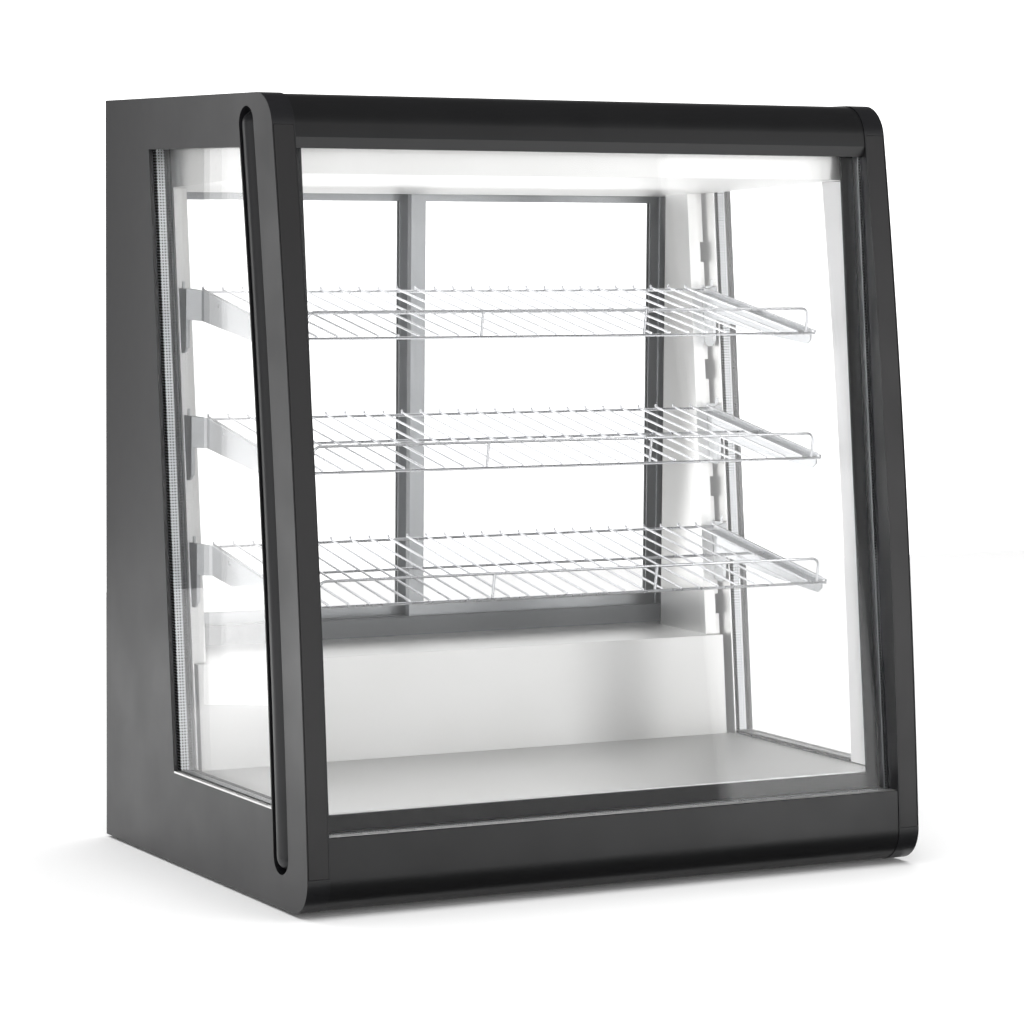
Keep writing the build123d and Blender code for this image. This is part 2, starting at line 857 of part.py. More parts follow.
def write_door(label, track, left, right, pull_x):
    """Frame and pane of one sliding door, with a finger pull cut into the rear of a stile."""
    plane = door_plane(track)
    body_depth = door_thickness - stile_rib_height
    pane_depth = (body_depth - door_pane) / 2
    bite = stile_width - door_pane_bite
    with BuildPart() as frame:
        with BuildSketch(plane):
            door_rectangle(left, right, door_foot, door_head)
        extrude(amount=body_depth)
        with BuildSketch(plane.offset(body_depth)):
            door_rectangle(left, right, door_foot, door_head)
            with BuildSketch(mode=Mode.PRIVATE) as inside:
                door_rectangle(left + stile_rib, right - stile_rib, door_foot + stile_rib, door_head - stile_rib)
            add(inside.sketch, mode=Mode.SUBTRACT)
        extrude(amount=stile_rib_height)
        with BuildSketch(plane):
            door_rectangle(left + stile_width, right - stile_width, door_foot + stile_width, door_head - stile_width)
        extrude(amount=body_depth, mode=Mode.SUBTRACT)
        with BuildSketch(plane.offset(pane_depth)):
            door_rectangle(left + bite, right - bite, door_foot + bite, door_head - bite)
        extrude(amount=door_pane, mode=Mode.SUBTRACT)
        with BuildSketch(plane):
            with Locations((pull_x, door_foot + pull_rise + pull_height / 2)):
                Rectangle(pull_width, pull_height)
        extrude(amount=pull_depth, mode=Mode.SUBTRACT)
    write(frame, f"{label}_frame")
    with BuildPart() as glass:
        with BuildSketch(plane.offset(pane_depth)):
            door_rectangle(left + bite, right - bite, door_foot + bite, door_head - bite)
        extrude(amount=door_pane)
    write(glass, f"{label}_glass")


door_side = opening_half - door_edge_gap
pull_place = door_side - pull_edge - pull_width / 2
write_door("left_door", outer_track, -door_side, left_door_edge, -pull_place)
write_door("right_door", inner_track, right_door_edge, door_side, pull_place)

# Wire shelves
shelf_rear_reach = upright_reach(shelf_rear_height) + shelf_stand_off
wire_count = int(2 * shelf_half_width / wire_pitch) + 1
forward_down = Vector(0, -cos(shelf_tilt), -sin(shelf_tilt))
shelf_up = Vector(0, -sin(shelf_tilt), cos(shelf_tilt))


def shelf_point(level, x, along, above):
    """Point from its shelf, its place along the tilted wires and its height above their middle."""
    y, z = spot(shelf_rear_reach + level * shelf_step_forward, shelf_rear_height - level * shelf_step_down)
    return Vector(x, y, z) + forward_down * along + shelf_up * above


def facing_forward(level, along):
    return Plane(origin=shelf_point(level, 0, along, 0), x_dir=(1, 0, 0), z_dir=forward_down)


def facing_up(level, along, above):
    return Plane(origin=shelf_point(level, 0, along, above), x_dir=(1, 0, 0), z_dir=shelf_up)


def facing_right(level, x):
    """Plane of a side view of one shelf, with its first axis to the rear and its second upwards."""
    return Plane(origin=shelf_point(level, x, 0, 0), x_dir=-forward_down, z_dir=(1, 0, 0))


def wire_section(thickness):
    RegularPolygon(thickness / 2, wire_sides, major_radius=False)


long_wire_drop = (cross_wire + long_wire) / 2
long_wire_places = (long_wire_margin, middle_wire_place, shelf_length - long_wire_margin)
guard_half_width = shelf_half_width - guard_margin


def write_shelf(level, label):
    """Tilted cross wires of a shelf, and the long wires that they are welded to."""
    with BuildPart() as cross_wires:
        with BuildSketch(facing_forward(level, 0)):
            with GridLocations(wire_pitch, 0, wire_count, 1):
                wire_section(cross_wire)
        extrude(amount=shelf_length)
    write(cross_wires, label)
    with BuildPart() as long_wires:
        with BuildSketch(facing_right(level, -shelf_half_width)):
            with Locations([(-place, -long_wire_drop) for place in long_wire_places]):
                wire_section(long_wire)
        extrude(amount=2 * shelf_half_width)
    write(long_wires, f"{label}_long_wires")


def write_guard(level, label):
    """Rail on the front wire of a shelf."""
    along = long_wire_places[-1]
    low = long_wire / 2 - long_wire_drop
    side = facing_forward(level, along)
    with BuildPart() as guard:
        with BuildLine(side):
            FilletPolyline(
                (-guard_half_width, low),
                (-guard_half_width, guard_height),
                (guard_half_width, guard_height),
                (guard_half_width, low),
                radius=guard_bend,
            )
        with BuildSketch(Plane(origin=shelf_point(level, -guard_half_width, along, low), z_dir=shelf_up)):
            wire_section(long_wire)
        sweep()
        with BuildSketch(facing_up(level, along, low)):
            with Locations([(post, 0) for post in guard_posts]):
                wire_section(long_wire)
        extrude(amount=guard_height - low)
    write(guard, label)


shelf_names = ("top", "mid", "low")
for level, name in enumerate(shelf_names):
    write_shelf(level, f"shelf_{name}")
    write_guard(level, f"shelf_{name}_guard")


# Shelf brackets
def write_brackets(level, label):
    """Pair of pressed brackets, each a strip bent in plan and cut to its side view."""
    reach = shelf_rear_reach + level * shelf_step_forward
    top = shelf_rear_height - level * shelf_step_down

    def place(run, fall):
        return spot(reach + run, top - fall)

    def on_upright(fall):
        return upright_reach(top - fall) - reach

    def on_arm(run):
        return run, run * shelf_drop / shelf_run

    def plan(x, run):
        return x, rear_y - reach - run

    tab_low = notch_fall - tab_notch * notch_pitch + tab_height / 2
    tab_high = tab_low - tab_height
    tab_end = on_upright(tab_high) - tab_length
    rest = cross_wire / 2 + long_wire + seat_gap
    with BuildPart() as brackets:
        with BuildSketch(Plane.XY.offset(foot_height)):
            outline(
                plan(hook_side + bracket_sheet, tab_end),
                plan(hook_side + bracket_sheet, joggle_start),
                plan(arm_side + bracket_sheet, joggle_end),
                plan(arm_side + bracket_sheet, arm_front),
                plan(arm_side, arm_front),
                plan(arm_side, joggle_end - bracket_sheet / 2),
                plan(hook_side, joggle_start - bracket_sheet / 2),
                plan(hook_side, tab_end),
            )
        extrude(amount=panel_height)
        with BuildSketch(Plane.YZ.offset(arm_side - flange_width)) as side_view:
            outline(
                place(on_upright(hook_fall) + seat_gap, hook_fall),
                place(on_upright(-hook_rise) + seat_gap, -hook_rise),
                place(joggle_start, -hook_rise),
                place(*on_arm(joggle_end)),
                place(*on_arm(arm_front)),
                place(arm_front, arm_front_fall),
                place(arm_tip, arm_tip_fall),
                place(arm_middle, arm_middle_fall),
                place(joggle_start, arm_root_fall),
                place(joggle_start, hook_fall),
            )
            fillet(side_view.vertices().group_by(Axis.Y)[0], hook_radius)
            outline(
                place(on_upright(tab_low) - tab_length, tab_low),
                place(tab_end, tab_high),
                place(joggle_start, tab_high),
                place(joggle_start, tab_low),
            )
            with Locations(place(arm_hole, arm_hole_fall)):
                Circle(arm_hole_radius, mode=Mode.SUBTRACT)
        extrude(amount=half_width, mode=Mode.INTERSECT)
        with BuildSketch(facing_right(level, arm_side - flange_width)):
            low_end = arm_front / cos(shelf_tilt)
            high_end = joggle_end / cos(shelf_tilt)
            outline(
                (-high_end, -rest),
                (-low_end, -rest),
                (-low_end, -rest - bracket_sheet),
                (-high_end, -rest - bracket_sheet),
            )
        extrude(amount=flange_width)
        pin_x = hook_side + bracket_sheet / 2
        with BuildSketch(Plane(origin=(pin_x, *place(pin_place, -hook_rise)))):
            Rectangle(bracket_sheet, pin_width)
        extrude(amount=pin_height)
        mirror(about=Plane.YZ)
    write(brackets, label)


for level, name in enumerate(shelf_names):
    write_brackets(level, f"{name}_shelf_brackets")

# Rear panel and controls
rear_low = foot_height + pan_bottom
rear_high = foot_height + box_height - sheet
rear_face_y = rear_y - rear_skin
tray_middle = inner_half - tray_margin - tray_width / 2
tray_z = foot_height + tray_middle_height
vent_width = (vent_columns - 1) * vent_column_pitch + vent_slot
vent_middle = vent_margin + vent_width / 2 - inner_half
tray_front_y = rear_face_y - sheet - tray_depth
tray_floor_y = tray_front_y + sheet
control_z = tray_z + control_height


def facing_back(x, y, z):
    """Plane that looks to the rear, with its first axis towards the right side of the case."""
    return Plane(origin=(x, y, z), x_dir=(1, 0, 0), z_dir=(0, 1, 0))


with BuildPart() as rear_panel:
    with BuildSketch(facing_back(0, rear_face_y - sheet, 0)):
        with Locations((0, -(rear_low + rear_high) / 2)):
            Rectangle(2 * inner_half, rear_high - rear_low)
        with Locations((vent_middle, -foot_height - vent_middle_height)):
            with GridLocations(vent_column_pitch, vent_row_pitch, vent_columns, vent_rows):
                Rectangle(vent_slot, vent_slot_height, mode=Mode.SUBTRACT)
        with Locations((tray_middle, -tray_z)):
            Rectangle(tray_width - 2 * sheet, tray_height - 2 * sheet, mode=Mode.SUBTRACT)
    extrude(amount=sheet)
write(rear_panel, "rear_panel")

with BuildPart() as control_plate:
    with BuildSketch(facing_back(tray_middle, tray_front_y, tray_z)):
        Rectangle(tray_width, tray_height)
    extrude(amount=tray_depth)
    with BuildSketch(facing_back(tray_middle, tray_floor_y, tray_z)):
        Rectangle(tray_width - 2 * sheet, tray_height - 2 * sheet)
    extrude(amount=tray_depth, mode=Mode.SUBTRACT)
    with BuildSketch(facing_back(tray_middle, tray_front_y, control_z)):
        with Locations((rocker_place, 0)):
            Rectangle(rocker_width + 2 * rocker_play, rocker_height + 2 * rocker_play)
        with Locations((knob_place, 0)):
            Circle(knob_shaft + seat_gap)
    extrude(amount=sheet, mode=Mode.SUBTRACT)
write(control_plate, "control_plate")

with BuildPart() as light_switch_rocker:
    with BuildSketch(facing_back(tray_middle + rocker_place, tray_front_y - sheet, control_z)):
        Rectangle(rocker_width, rocker_height)
    extrude(amount=rocker_depth)
    chamfer(light_switch_rocker.edges().filter_by(Axis.X).group_by(Axis.Y)[-1], rocker_bevel)
write(light_switch_rocker, "light_switch_rocker")

knob_x = tray_middle + knob_place
knob_base_y = tray_floor_y + knob_gap
with BuildPart() as thermostat_knob:
    with BuildSketch(facing_back(knob_x, knob_base_y, control_z)):
        RegularPolygon(knob_radius, knob_flutes)
    extrude(amount=knob_thickness)
    with BuildSketch(facing_back(knob_x, knob_base_y + knob_thickness, control_z)):
        Rectangle(knob_grip_width, 2 * knob_radius - sheet)
    extrude(amount=knob_grip)
    with BuildSketch(facing_back(knob_x, knob_base_y, control_z)):
        Circle(knob_shaft)
    extrude(amount=-knob_shaft_length)
write(thermostat_knob, "thermostat_knob")

inlet_x = tray_middle + inlet_place
with BuildPart() as power_inlet:
    with BuildSketch(facing_back(inlet_x, tray_floor_y, control_z)):
        Rectangle(inlet_width, inlet_height)
    extrude(amount=inlet_depth)
    with BuildSketch(facing_back(inlet_x, tray_floor_y + inlet_floor, control_z)):
        Rectangle(inlet_width - 2 * inlet_wall, inlet_height - 2 * inlet_wall)
    extrude(amount=inlet_depth, mode=Mode.SUBTRACT)
    with BuildSketch(facing_back(inlet_x, tray_floor_y + inlet_floor, control_z)):
        with GridLocations(inlet_pin_pitch, 0, 3, 1):
            Rectangle(inlet_pin_width, inlet_pin)
    extrude(amount=inlet_pin)
write(power_inlet, "power_inlet")

# Compressor, coil, fan and pipe
machine_y = rear_y - machine_reach
pan_z = foot_height + pan_top
compressor_x = compressor_margin - inner_half
can_low = pan_z + compressor_plate
can_high = pan_z + compressor_height
with BuildPart() as compressor:
    with BuildSketch(Plane(origin=(compressor_x, machine_y, can_low))):
        RegularPolygon(compressor_radius, compressor_sides)
    extrude(amount=can_high - can_low)
    rims = compressor.edges().group_by(Axis.Z)
    chamfer(rims[0] + rims[-1], compressor_bevel)
    with BuildSketch(Plane(origin=(compressor_x, machine_y, pan_z))):
        Rectangle(compressor_plate_width, compressor_plate_depth)
    extrude(amount=compressor_plate)
    with BuildSketch(Plane(origin=(compressor_x, machine_y, can_high))):
        RegularPolygon(port_radius, pipe_sides)
    extrude(amount=port_height)
write(compressor, "compressor")

coil_x = inner_half - coil_margin - coil_thickness / 2
with BuildPart() as condenser_coil:
    with BuildSketch(Plane(origin=(coil_x, machine_y, pan_z))):
        Rectangle(coil_thickness, coil_width)
        with Locations((coil_root / 2, 0)):
            with GridLocations(0, coil_fin_pitch, 1, coil_fin_count):
                Rectangle(coil_thickness - coil_root, coil_fin_pitch - coil_fin, mode=Mode.SUBTRACT)
    extrude(amount=coil_height)
write(condenser_coil, "condenser_coil")

fan_z = pan_z + fan_height


def facing_fan(x):
    """Plane across the fan's shaft, at a place along it."""
    return Plane(origin=(x, machine_y, fan_z), x_dir=(0, 1, 0), z_dir=(1, 0, 0))


fan_plate_x = coil_x - coil_thickness / 2 - fan_coil_gap - fan_collar
collar_x = fan_plate_x - fan_collar_length
with BuildPart() as condenser_fan_housing:
    with BuildSketch(Plane(origin=(fan_plate_x, machine_y, pan_z), x_dir=(0, 1, 0), z_dir=(1, 0, 0))):
        with Locations((0, fan_plate_height / 2)):
            Rectangle(fan_plate_size, fan_plate_height)
    extrude(amount=fan_collar)
    with BuildSketch(facing_fan(collar_x)):
        RegularPolygon(fan_hole + fan_collar, fan_sides)
    extrude(amount=fan_collar_length)
    with BuildSketch(facing_fan(collar_x)):
        RegularPolygon(fan_hole, fan_sides)
    extrude(amount=fan_collar_length + fan_collar, mode=Mode.SUBTRACT)
    with BuildSketch(facing_fan(collar_x - motor_strut)):
        Rectangle(2 * (fan_hole + fan_collar), motor_strut)
        Rectangle(motor_strut, 2 * (fan_hole + fan_collar))
    extrude(amount=motor_strut)
    with BuildSketch(facing_fan(collar_x)):
        RegularPolygon(motor_radius, fan_sides // 2)
    extrude(amount=-motor_length)
    with BuildSketch(facing_fan(collar_x)):
        Circle(fan_shaft)
    extrude(amount=fan_shaft_length)
write(condenser_fan_housing, "condenser_fan_housing")

blade_length = fan_blade_tip - motor_radius
with BuildPart(facing_fan(collar_x + fan_hub_gap + fan_hub_length / 2)) as condenser_fan_blades:
    Cylinder(fan_hub_radius, fan_hub_length)
    with PolarLocations(motor_radius + blade_length / 2, fan_blade_count):
        Box(blade_length, fan_blade_width, fan_blade_sheet, rotation=(fan_blade_pitch, 0, 0))
    Cylinder(fan_shaft + seat_gap, 2 * fan_hub_length, mode=Mode.SUBTRACT)
write(condenser_fan_blades, "condenser_fan_blades")

pipe_start = Vector(compressor_x, machine_y, can_high + port_height)
pipe_end = Vector(coil_x - coil_thickness / 2 + pipe_radius, machine_y, pan_z + coil_height)
with BuildPart() as refrigerant_pipe:
    with BuildLine() as pipe_line:
        FilletPolyline(
            pipe_start,
            (pipe_start.X, machine_y, foot_height + pipe_level),
            (pipe_end.X, machine_y, foot_height + pipe_level),
            pipe_end,
            radius=pipe_bend,
        )
    with BuildSketch(Plane(origin=pipe_start, z_dir=(0, 0, 1))):
        RegularPolygon(pipe_radius, pipe_sides)
    sweep()
write(refrigerant_pipe, "refrigerant_pipe")
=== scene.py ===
"""Dresses the countertop display fridge: smooth mouldings, bent wire shelves, finishes, studio and camera.

Sizes in the classes are millimetres. Places are given as a distance forward of the case's rear plane and a
height above the panels' foot, as in the part's source, and turned to metres by CaseForm.
"""
import logging
import math
from dataclasses import dataclass, field
from enum import Enum

import bmesh
import bpy
from mathutils import Matrix, Vector


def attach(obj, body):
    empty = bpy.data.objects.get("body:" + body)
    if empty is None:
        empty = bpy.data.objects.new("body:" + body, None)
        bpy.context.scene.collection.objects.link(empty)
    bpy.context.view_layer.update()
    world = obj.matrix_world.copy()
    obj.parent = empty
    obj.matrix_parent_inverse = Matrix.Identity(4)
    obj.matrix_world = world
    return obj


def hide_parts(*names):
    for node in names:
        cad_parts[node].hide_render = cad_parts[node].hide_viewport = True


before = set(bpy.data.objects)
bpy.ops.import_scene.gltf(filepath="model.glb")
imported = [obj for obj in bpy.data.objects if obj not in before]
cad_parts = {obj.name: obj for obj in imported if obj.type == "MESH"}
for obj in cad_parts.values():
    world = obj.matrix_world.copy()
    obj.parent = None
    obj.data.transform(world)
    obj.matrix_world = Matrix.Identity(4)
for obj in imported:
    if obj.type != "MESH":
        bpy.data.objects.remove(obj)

log = logging.getLogger("display_fridge")
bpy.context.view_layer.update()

Tree = bpy.types.NodeTree
Socket = bpy.types.NodeSocket
Piece = bpy.types.Object
Mesh = bpy.types.Mesh
Shape = bmesh.types.BMesh
Pair = tuple[float, float]

MM = 0.001
STRAIGHT = math.pi
RIGHT_ANGLE = math.pi / 2
ACROSS = Vector((1, 0, 0))
WHITE = (1.0, 1.0, 1.0, 1.0)
FRONT_STEPS = 24


class Side(Enum):
    """Side of the case, seen from the front."""

    LEFT = -1
    RIGHT = 1

    @property
    def word(self) -> str:
        """Side as it is written in the nodes' names."""
        return self.name.lower()


class Grain(Enum):
    """Direction in which a metal sheet was brushed, as an Euler turn of the pattern."""

    ALONG_X = (0.0, 0.0, 0.0)
    UPRIGHT = (0.0, RIGHT_ANGLE, 0.0)


# Form of the case


@dataclass(frozen=True)
class CaseForm:
    """Sizes that all the pieces share, and the curve of the case's front."""

    width: float = 700.0
    panel_thickness: float = 24.0
    panel_height: float = 785.0
    foot_height: float = 3.0
    bottom_reach: float = 518.0
    middle_reach: float = 481.8
    top_reach: float = 423.7
    bottom_corner: float = 34.0
    top_corner: float = 36.0
    glass_setback: float = 7.04
    glass_lean: float = 0.1076
    lip_tip: float = 731.0

    @property
    def half_width(self) -> float:
        """Distance from the middle to the outer face of a panel."""
        return self.width / 2

    @property
    def inner_half(self) -> float:
        """Distance from the middle to the inner face of a panel."""
        return self.half_width - self.panel_thickness

    @property
    def front_circle(self) -> tuple[float, float, float]:
        """Circle through the front edge's foot, middle and head.

        Returns:
            Distance forward and height of its centre, and its radius.
        """
        rise = self.panel_height / 2
        near = self.middle_reach - self.bottom_reach
        far = self.top_reach - self.bottom_reach
        span = 2 * rise
        turn = 2 * (near * span - rise * far)
        near_square = near**2 + rise**2
        far_square = far**2 + span**2
        x = (span * near_square - rise * far_square) / turn
        z = (near * far_square - far * near_square) / turn
        return self.bottom_reach + x, z, math.hypot(x, z)

    def reach(self, height: float, inset: float) -> float:
        """Distance forward, at a height, of the curve that runs an inset inside the front edge."""
        x, z, radius = self.front_circle
        return x + math.sqrt((radius - inset) ** 2 - (height - z) ** 2)

    @property
    def rear(self) -> float:
        """Distance of the rear plane behind the middle of the case."""
        return self.reach(self.bottom_corner, 0) / 2

    def place(self, x: float, forward: float, height: float) -> Vector:
        """Point in metres, from its distances right of the middle, forward of the rear and above the foot."""
        return Vector((x, self.rear - forward, self.foot_height + height)) * MM

    def on_front(self, height: float, inset: float) -> tuple[float, float]:
        """Point of a side view on a curve inside the front edge."""
        return self.reach(height, inset), height

    def on_glass(self, height: float) -> tuple[float, float]:
        """Point of a side view on the outer face of the leaning front glass."""
        head = self.reach(self.lip_tip, self.glass_setback)
        return head + self.glass_lean * (self.lip_tip - height), height

    def front_run(self, low: float, high: float, inset: float, steps: int = FRONT_STEPS) -> list[Pair]:
        """Points of a side view, from one height to another, on a curve inside the front edge."""
        return [self.on_front(low + (high - low) * i / steps, inset) for i in range(steps + 1)]


FORM = CaseForm()


# Tools of the maker

MERGE_DISTANCE = 1e-6
SHARP_ANGLE = 30.0
SOFTENED_ANGLE = 35.0
CORNER_STEPS = 14
WIRE_SHARP_ANGLE = 40.0
WIRE_ROUNDNESS = 2
BEND_STEPS = 6
BEND_HANDLE = 0.45


def to_linear(code: str) -> tuple[float, float, float, float]:
    """Turns an sRGB colour to a linear one.

    Args:
        code: the colour as #rrggbb.

    Returns:
        The linear colour with full opacity.
    """
    parts = [int(code[i : i + 2], 16) / 255 for i in (1, 3, 5)]
    red, green, blue = [c / 12.92 if c <= 0.04045 else ((c + 0.055) / 1.055) ** 2.4 for c in parts]
    return red, green, blue, 1.0


def add_node(
    tree: Tree,
    kind: str,
    values: dict[str | int, object] | None = None,
    links: dict[str | int, Socket] | None = None,
    **settings: object,
) -> bpy.types.Node:
    """Adds one node to a tree.

    Args:
        tree: the tree that gets the node.
        kind: the node's type name after ShaderNode.
        values: values of its input sockets, by name or index.
        links: sockets that feed its input sockets, by name or index.
        settings: properties of the node itself.

    Returns:
        The new node.
    """
    node = tree.nodes.new(f"ShaderNode{kind}")
    for name, setting in settings.items():
        setattr(node, name, setting)
    for name, value in (values or {}).items():
        node.inputs[name].default_value = value
    for name, source in (links or {}).items():
        tree.links.new(source, node.inputs[name])
    return node


def map_range(tree: Tree, value: Socket, source: Pair, target: Pair, **settings: object) -> Socket:
    """Turns a value between two limits of its source to one between two limits of its target."""
    values = {"From Min": source[0], "From Max": source[1], "To Min": target[0], "To Max": target[1]}
    return add_node(tree, "MapRange", values, {"Value": value}, **settings).outputs["Result"]


def mix_colours(tree: Tree, amount: Socket, colour: str, other: str) -> Socket:
    """Mixes two colours, written as #rrggbb, by the amount of the other one."""
    values = {6: to_linear(colour), 7: to_linear(other)}
    return add_node(tree, "Mix", values, {0: amount}, data_type="RGBA").outputs[2]


def link_object(name: str, mesh: Mesh) -> Piece:
    """Puts a mesh into the scene as an object at the origin.

    Args:
        name: name of the object.
        mesh: its mesh, already in place.

    Returns:
        The new object.
    """
    piece = bpy.data.objects.new(name, mesh)
    bpy.context.scene.collection.objects.link(piece)
    return piece


def shade(mesh: Mesh, sharp_angle: float = SHARP_ANGLE) -> None:
    """Shades a mesh smooth, with edges above an angle in degrees sharp."""
    mesh.shade_smooth()
    mesh.set_sharp_from_angle(angle=math.radians(sharp_angle))


def evaluated_mesh(piece: Piece) -> Mesh:
    """Mesh of an object as its modifiers or its curve's settings leave it."""
    graph = bpy.context.evaluated_depsgraph_get()
    return bpy.data.meshes.new_from_object(piece.evaluated_get(graph))


def finish_mesh(name: str, bm: Shape) -> Piece:
    """Merges doubles, turns the faces outwards and makes an object of a shape.

    Args:
        name: name of the object.
        bm: the shape, which is freed.

    Returns:
        The new object.
    """
    bmesh.ops.remove_doubles(bm, verts=bm.verts, dist=MERGE_DISTANCE)
    bmesh.ops.recalc_face_normals(bm, faces=bm.faces)
    mesh = bpy.data.meshes.new(name)
    bm.to_mesh(mesh)
    bm.free()
    shade(mesh)
    return link_object(name, mesh)


def pull_out(bm: Shape, vector: Vector) -> list[bmesh.types.BMFace]:
    """Makes a flat shape a solid.

    Args:
        bm: the shape.
        vector: way and length of the solid in metres.

    Returns:
        The faces at its far end.
    """
    moved = bmesh.ops.extrude_face_region(bm, geom=list(bm.faces))["geom"]
    verts = [v for v in moved if isinstance(v, bmesh.types.BMVert)]
    bmesh.ops.translate(bm, verts=verts, vec=vector)
    return [f for f in moved if isinstance(f, bmesh.types.BMFace)]


def round_off(bm: Shape, geom: list, offset: float, segments: int, affect: str) -> None:
    """Rounds corners or edges of a shape.

    Args:
        bm: the shape.
        geom: its corners or edges.
        offset: distance in metres from them at which the rounding starts.
        segments: steps of the rounding.
        affect: VERTICES or EDGES.
    """
    bmesh.ops.bevel(
        bm,
        geom=geom,
        offset=offset,
        offset_type="OFFSET",
        segments=segments,
        profile=0.5,
        affect=affect,
        material=-1,
    )


def soften(piece: Piece, width: float, segments: int = 2) -> Piece:
    """Rounds the sharp edges of a piece, as a mould or a press leaves them.

    Args:
        piece: the piece.
        width: width of the rounding in millimetres.
        segments: number of steps across it.

    Returns:
        The piece.
    """
    bevel = piece.modifiers.new("edge_radius", "BEVEL")
    bevel.width = width * MM
    bevel.segments = segments
    bevel.limit_method = "ANGLE"
    bevel.angle_limit = math.radians(SOFTENED_ANGLE)
    bevel.harden_normals = True
    weighted = piece.modifiers.new("even_shading", "WEIGHTED_NORMAL")
    weighted.keep_sharp = True
    return piece


def cut_away(piece: Piece, cutters: list[Piece]) -> None:
    """Cuts shapes out of a piece and deletes them.

    Args:
        piece: the piece, whose mesh is replaced.
        cutters: closed shapes to take out of it.
    """
    for cutter in cutters:
        cut = piece.modifiers.new("cut", "BOOLEAN")
        cut.operation = "DIFFERENCE"
        cut.solver = "EXACT"
        cut.object = cutter
        mesh = evaluated_mesh(piece)
        piece.modifiers.clear()
        piece.data = mesh
        bpy.data.objects.remove(cutter)
    shade(piece.data)


def prism(
    name: str,
    points: list[Pair],
    start: float,
    end: float,
    corners: dict[int, float] | None = None,
) -> Piece:
    """Makes a piece with one side view all along its width.

    Args:
        name: name of the piece.
        points: outline of the side view, as distances forward and heights.
        start: distance of one end to the right of the middle.
        end: distance of the other end.
        corners: radii of the outline's rounded corners, by the place of the point.

    Returns:
        The new piece.
    """
    bm = bmesh.new()
    verts = [bm.verts.new(FORM.place(start, *point)) for point in points]
    bm.faces.new(verts)
    for i, radius in (corners or {}).items():
        before = verts[i - 1].co - verts[i].co
        after = verts[(i + 1) % len(verts)].co - verts[i].co
        turn = STRAIGHT - before.angle(after)
        round_off(bm, [verts[i]], radius * MM * math.tan(turn / 2), CORNER_STEPS, "VERTICES")
    pull_out(bm, ACROSS * (end - start) * MM)
    return finish_mesh(name, bm)


def bent_wires(name: str, runs: list[list[Vector]], radius: float, bend: float = 0.0) -> Piece:
    """Makes round wires that run straight between points and bend at the points between.

    Args:
        name: name of the piece.
        runs: the points of each wire, in metres.
        radius: radius of the wire in millimetres.
        bend: length of wire, in millimetres, that each bend takes up on both sides of its point.

    Returns:
        The wires as one mesh piece.
    """
    curve = bpy.data.curves.new(name, "CURVE")
    curve.dimensions = "3D"
    curve.bevel_depth = radius * MM
    curve.bevel_resolution = WIRE_ROUNDNESS
    curve.resolution_u = BEND_STEPS
    curve.use_fill_caps = True
    for run in runs:
        knots = [(run[0], run[0], run[0])]
        for before, point, after in zip(run, run[1:], run[2:]):
            reach = bend * MM
            into = (before - point).normalized() * reach
            away = (after - point).normalized() * reach
            knots.append((point + into, point + into, point + into * BEND_HANDLE))
            knots.append((point + away, point + away * BEND_HANDLE, point + away))
        knots.append((run[-1], run[-1], run[-1]))
        spline = curve.splines.new("BEZIER")
        spline.bezier_points.add(len(knots) - 1)
        for knot, (co, left, right) in zip(spline.bezier_points, knots):
            knot.handle_left_type = "FREE"
            knot.handle_right_type = "FREE"
            knot.co = co
            knot.handle_left = left
            knot.handle_right = right
    bent = bpy.data.objects.new(name, curve)
    bpy.context.scene.collection.objects.link(bent)
    mesh = evaluated_mesh(bent)
    bpy.data.objects.remove(bent)
    bpy.data.curves.remove(curve)
    shade(mesh, WIRE_SHARP_ANGLE)
    return link_object(name, mesh)


# Finishes

EVEN = 1.0
CLOUDY = 2.0
FINE = 3.0
NOISE_SPAN = (0.3, 0.7)
TINT_SPAN = (0.35, 0.65)
EDGE_SAMPLES = 4


def placed(tree: Tree, scale: tuple[float, float, float], turn: Grain = Grain.ALONG_X) -> Socket:
    """Coordinates of the object, for a pattern of a real size.

    Args:
        tree: the material's tree.
        scale: repeats per metre in each direction.
        turn: turn of the pattern.

    Returns:
        The socket with the coordinates.
    """
    place = add_node(tree, "TexCoord").outputs["Object"]
    values = {"Scale": scale, "Rotation": turn.value}
    return add_node(tree, "Mapping", values, {"Vector": place}).outputs["Vector"]


@dataclass(frozen=True)
class Clouds:
    """Cloudy pattern: the size of its clouds in millimetres, steps of finer ones, stretch along the grain."""

    size: float
    detail: float = CLOUDY
    stretch: float = 1.0
    turn: Grain = Grain.ALONG_X

    def build(self, tree: Tree) -> Socket:
        """Adds the pattern to a material.

        Args:
            tree: the material's tree.

        Returns:
            The socket with the pattern.
        """
        repeats = 1 / (self.size * MM)
        place = placed(tree, (repeats * self.stretch, repeats, repeats), self.turn)
        values = {"Scale": 1.0, "Detail": self.detail, "Roughness": 0.5}
        return add_node(tree, "TexNoise", values, {"Vector": place}).outputs["Fac"]


@dataclass(frozen=True)
class Crystals(Clouds):
    """Pattern of crystals, each with a tone of its own."""

    def build(self, tree: Tree) -> Socket:
        """Adds the pattern to a material."""
        place = placed(tree, (1 / (self.size * MM),) * 3)
        return add_node(tree, "TexVoronoi", {"Scale": 1.0}, {"Vector": place}).outputs["Color"]


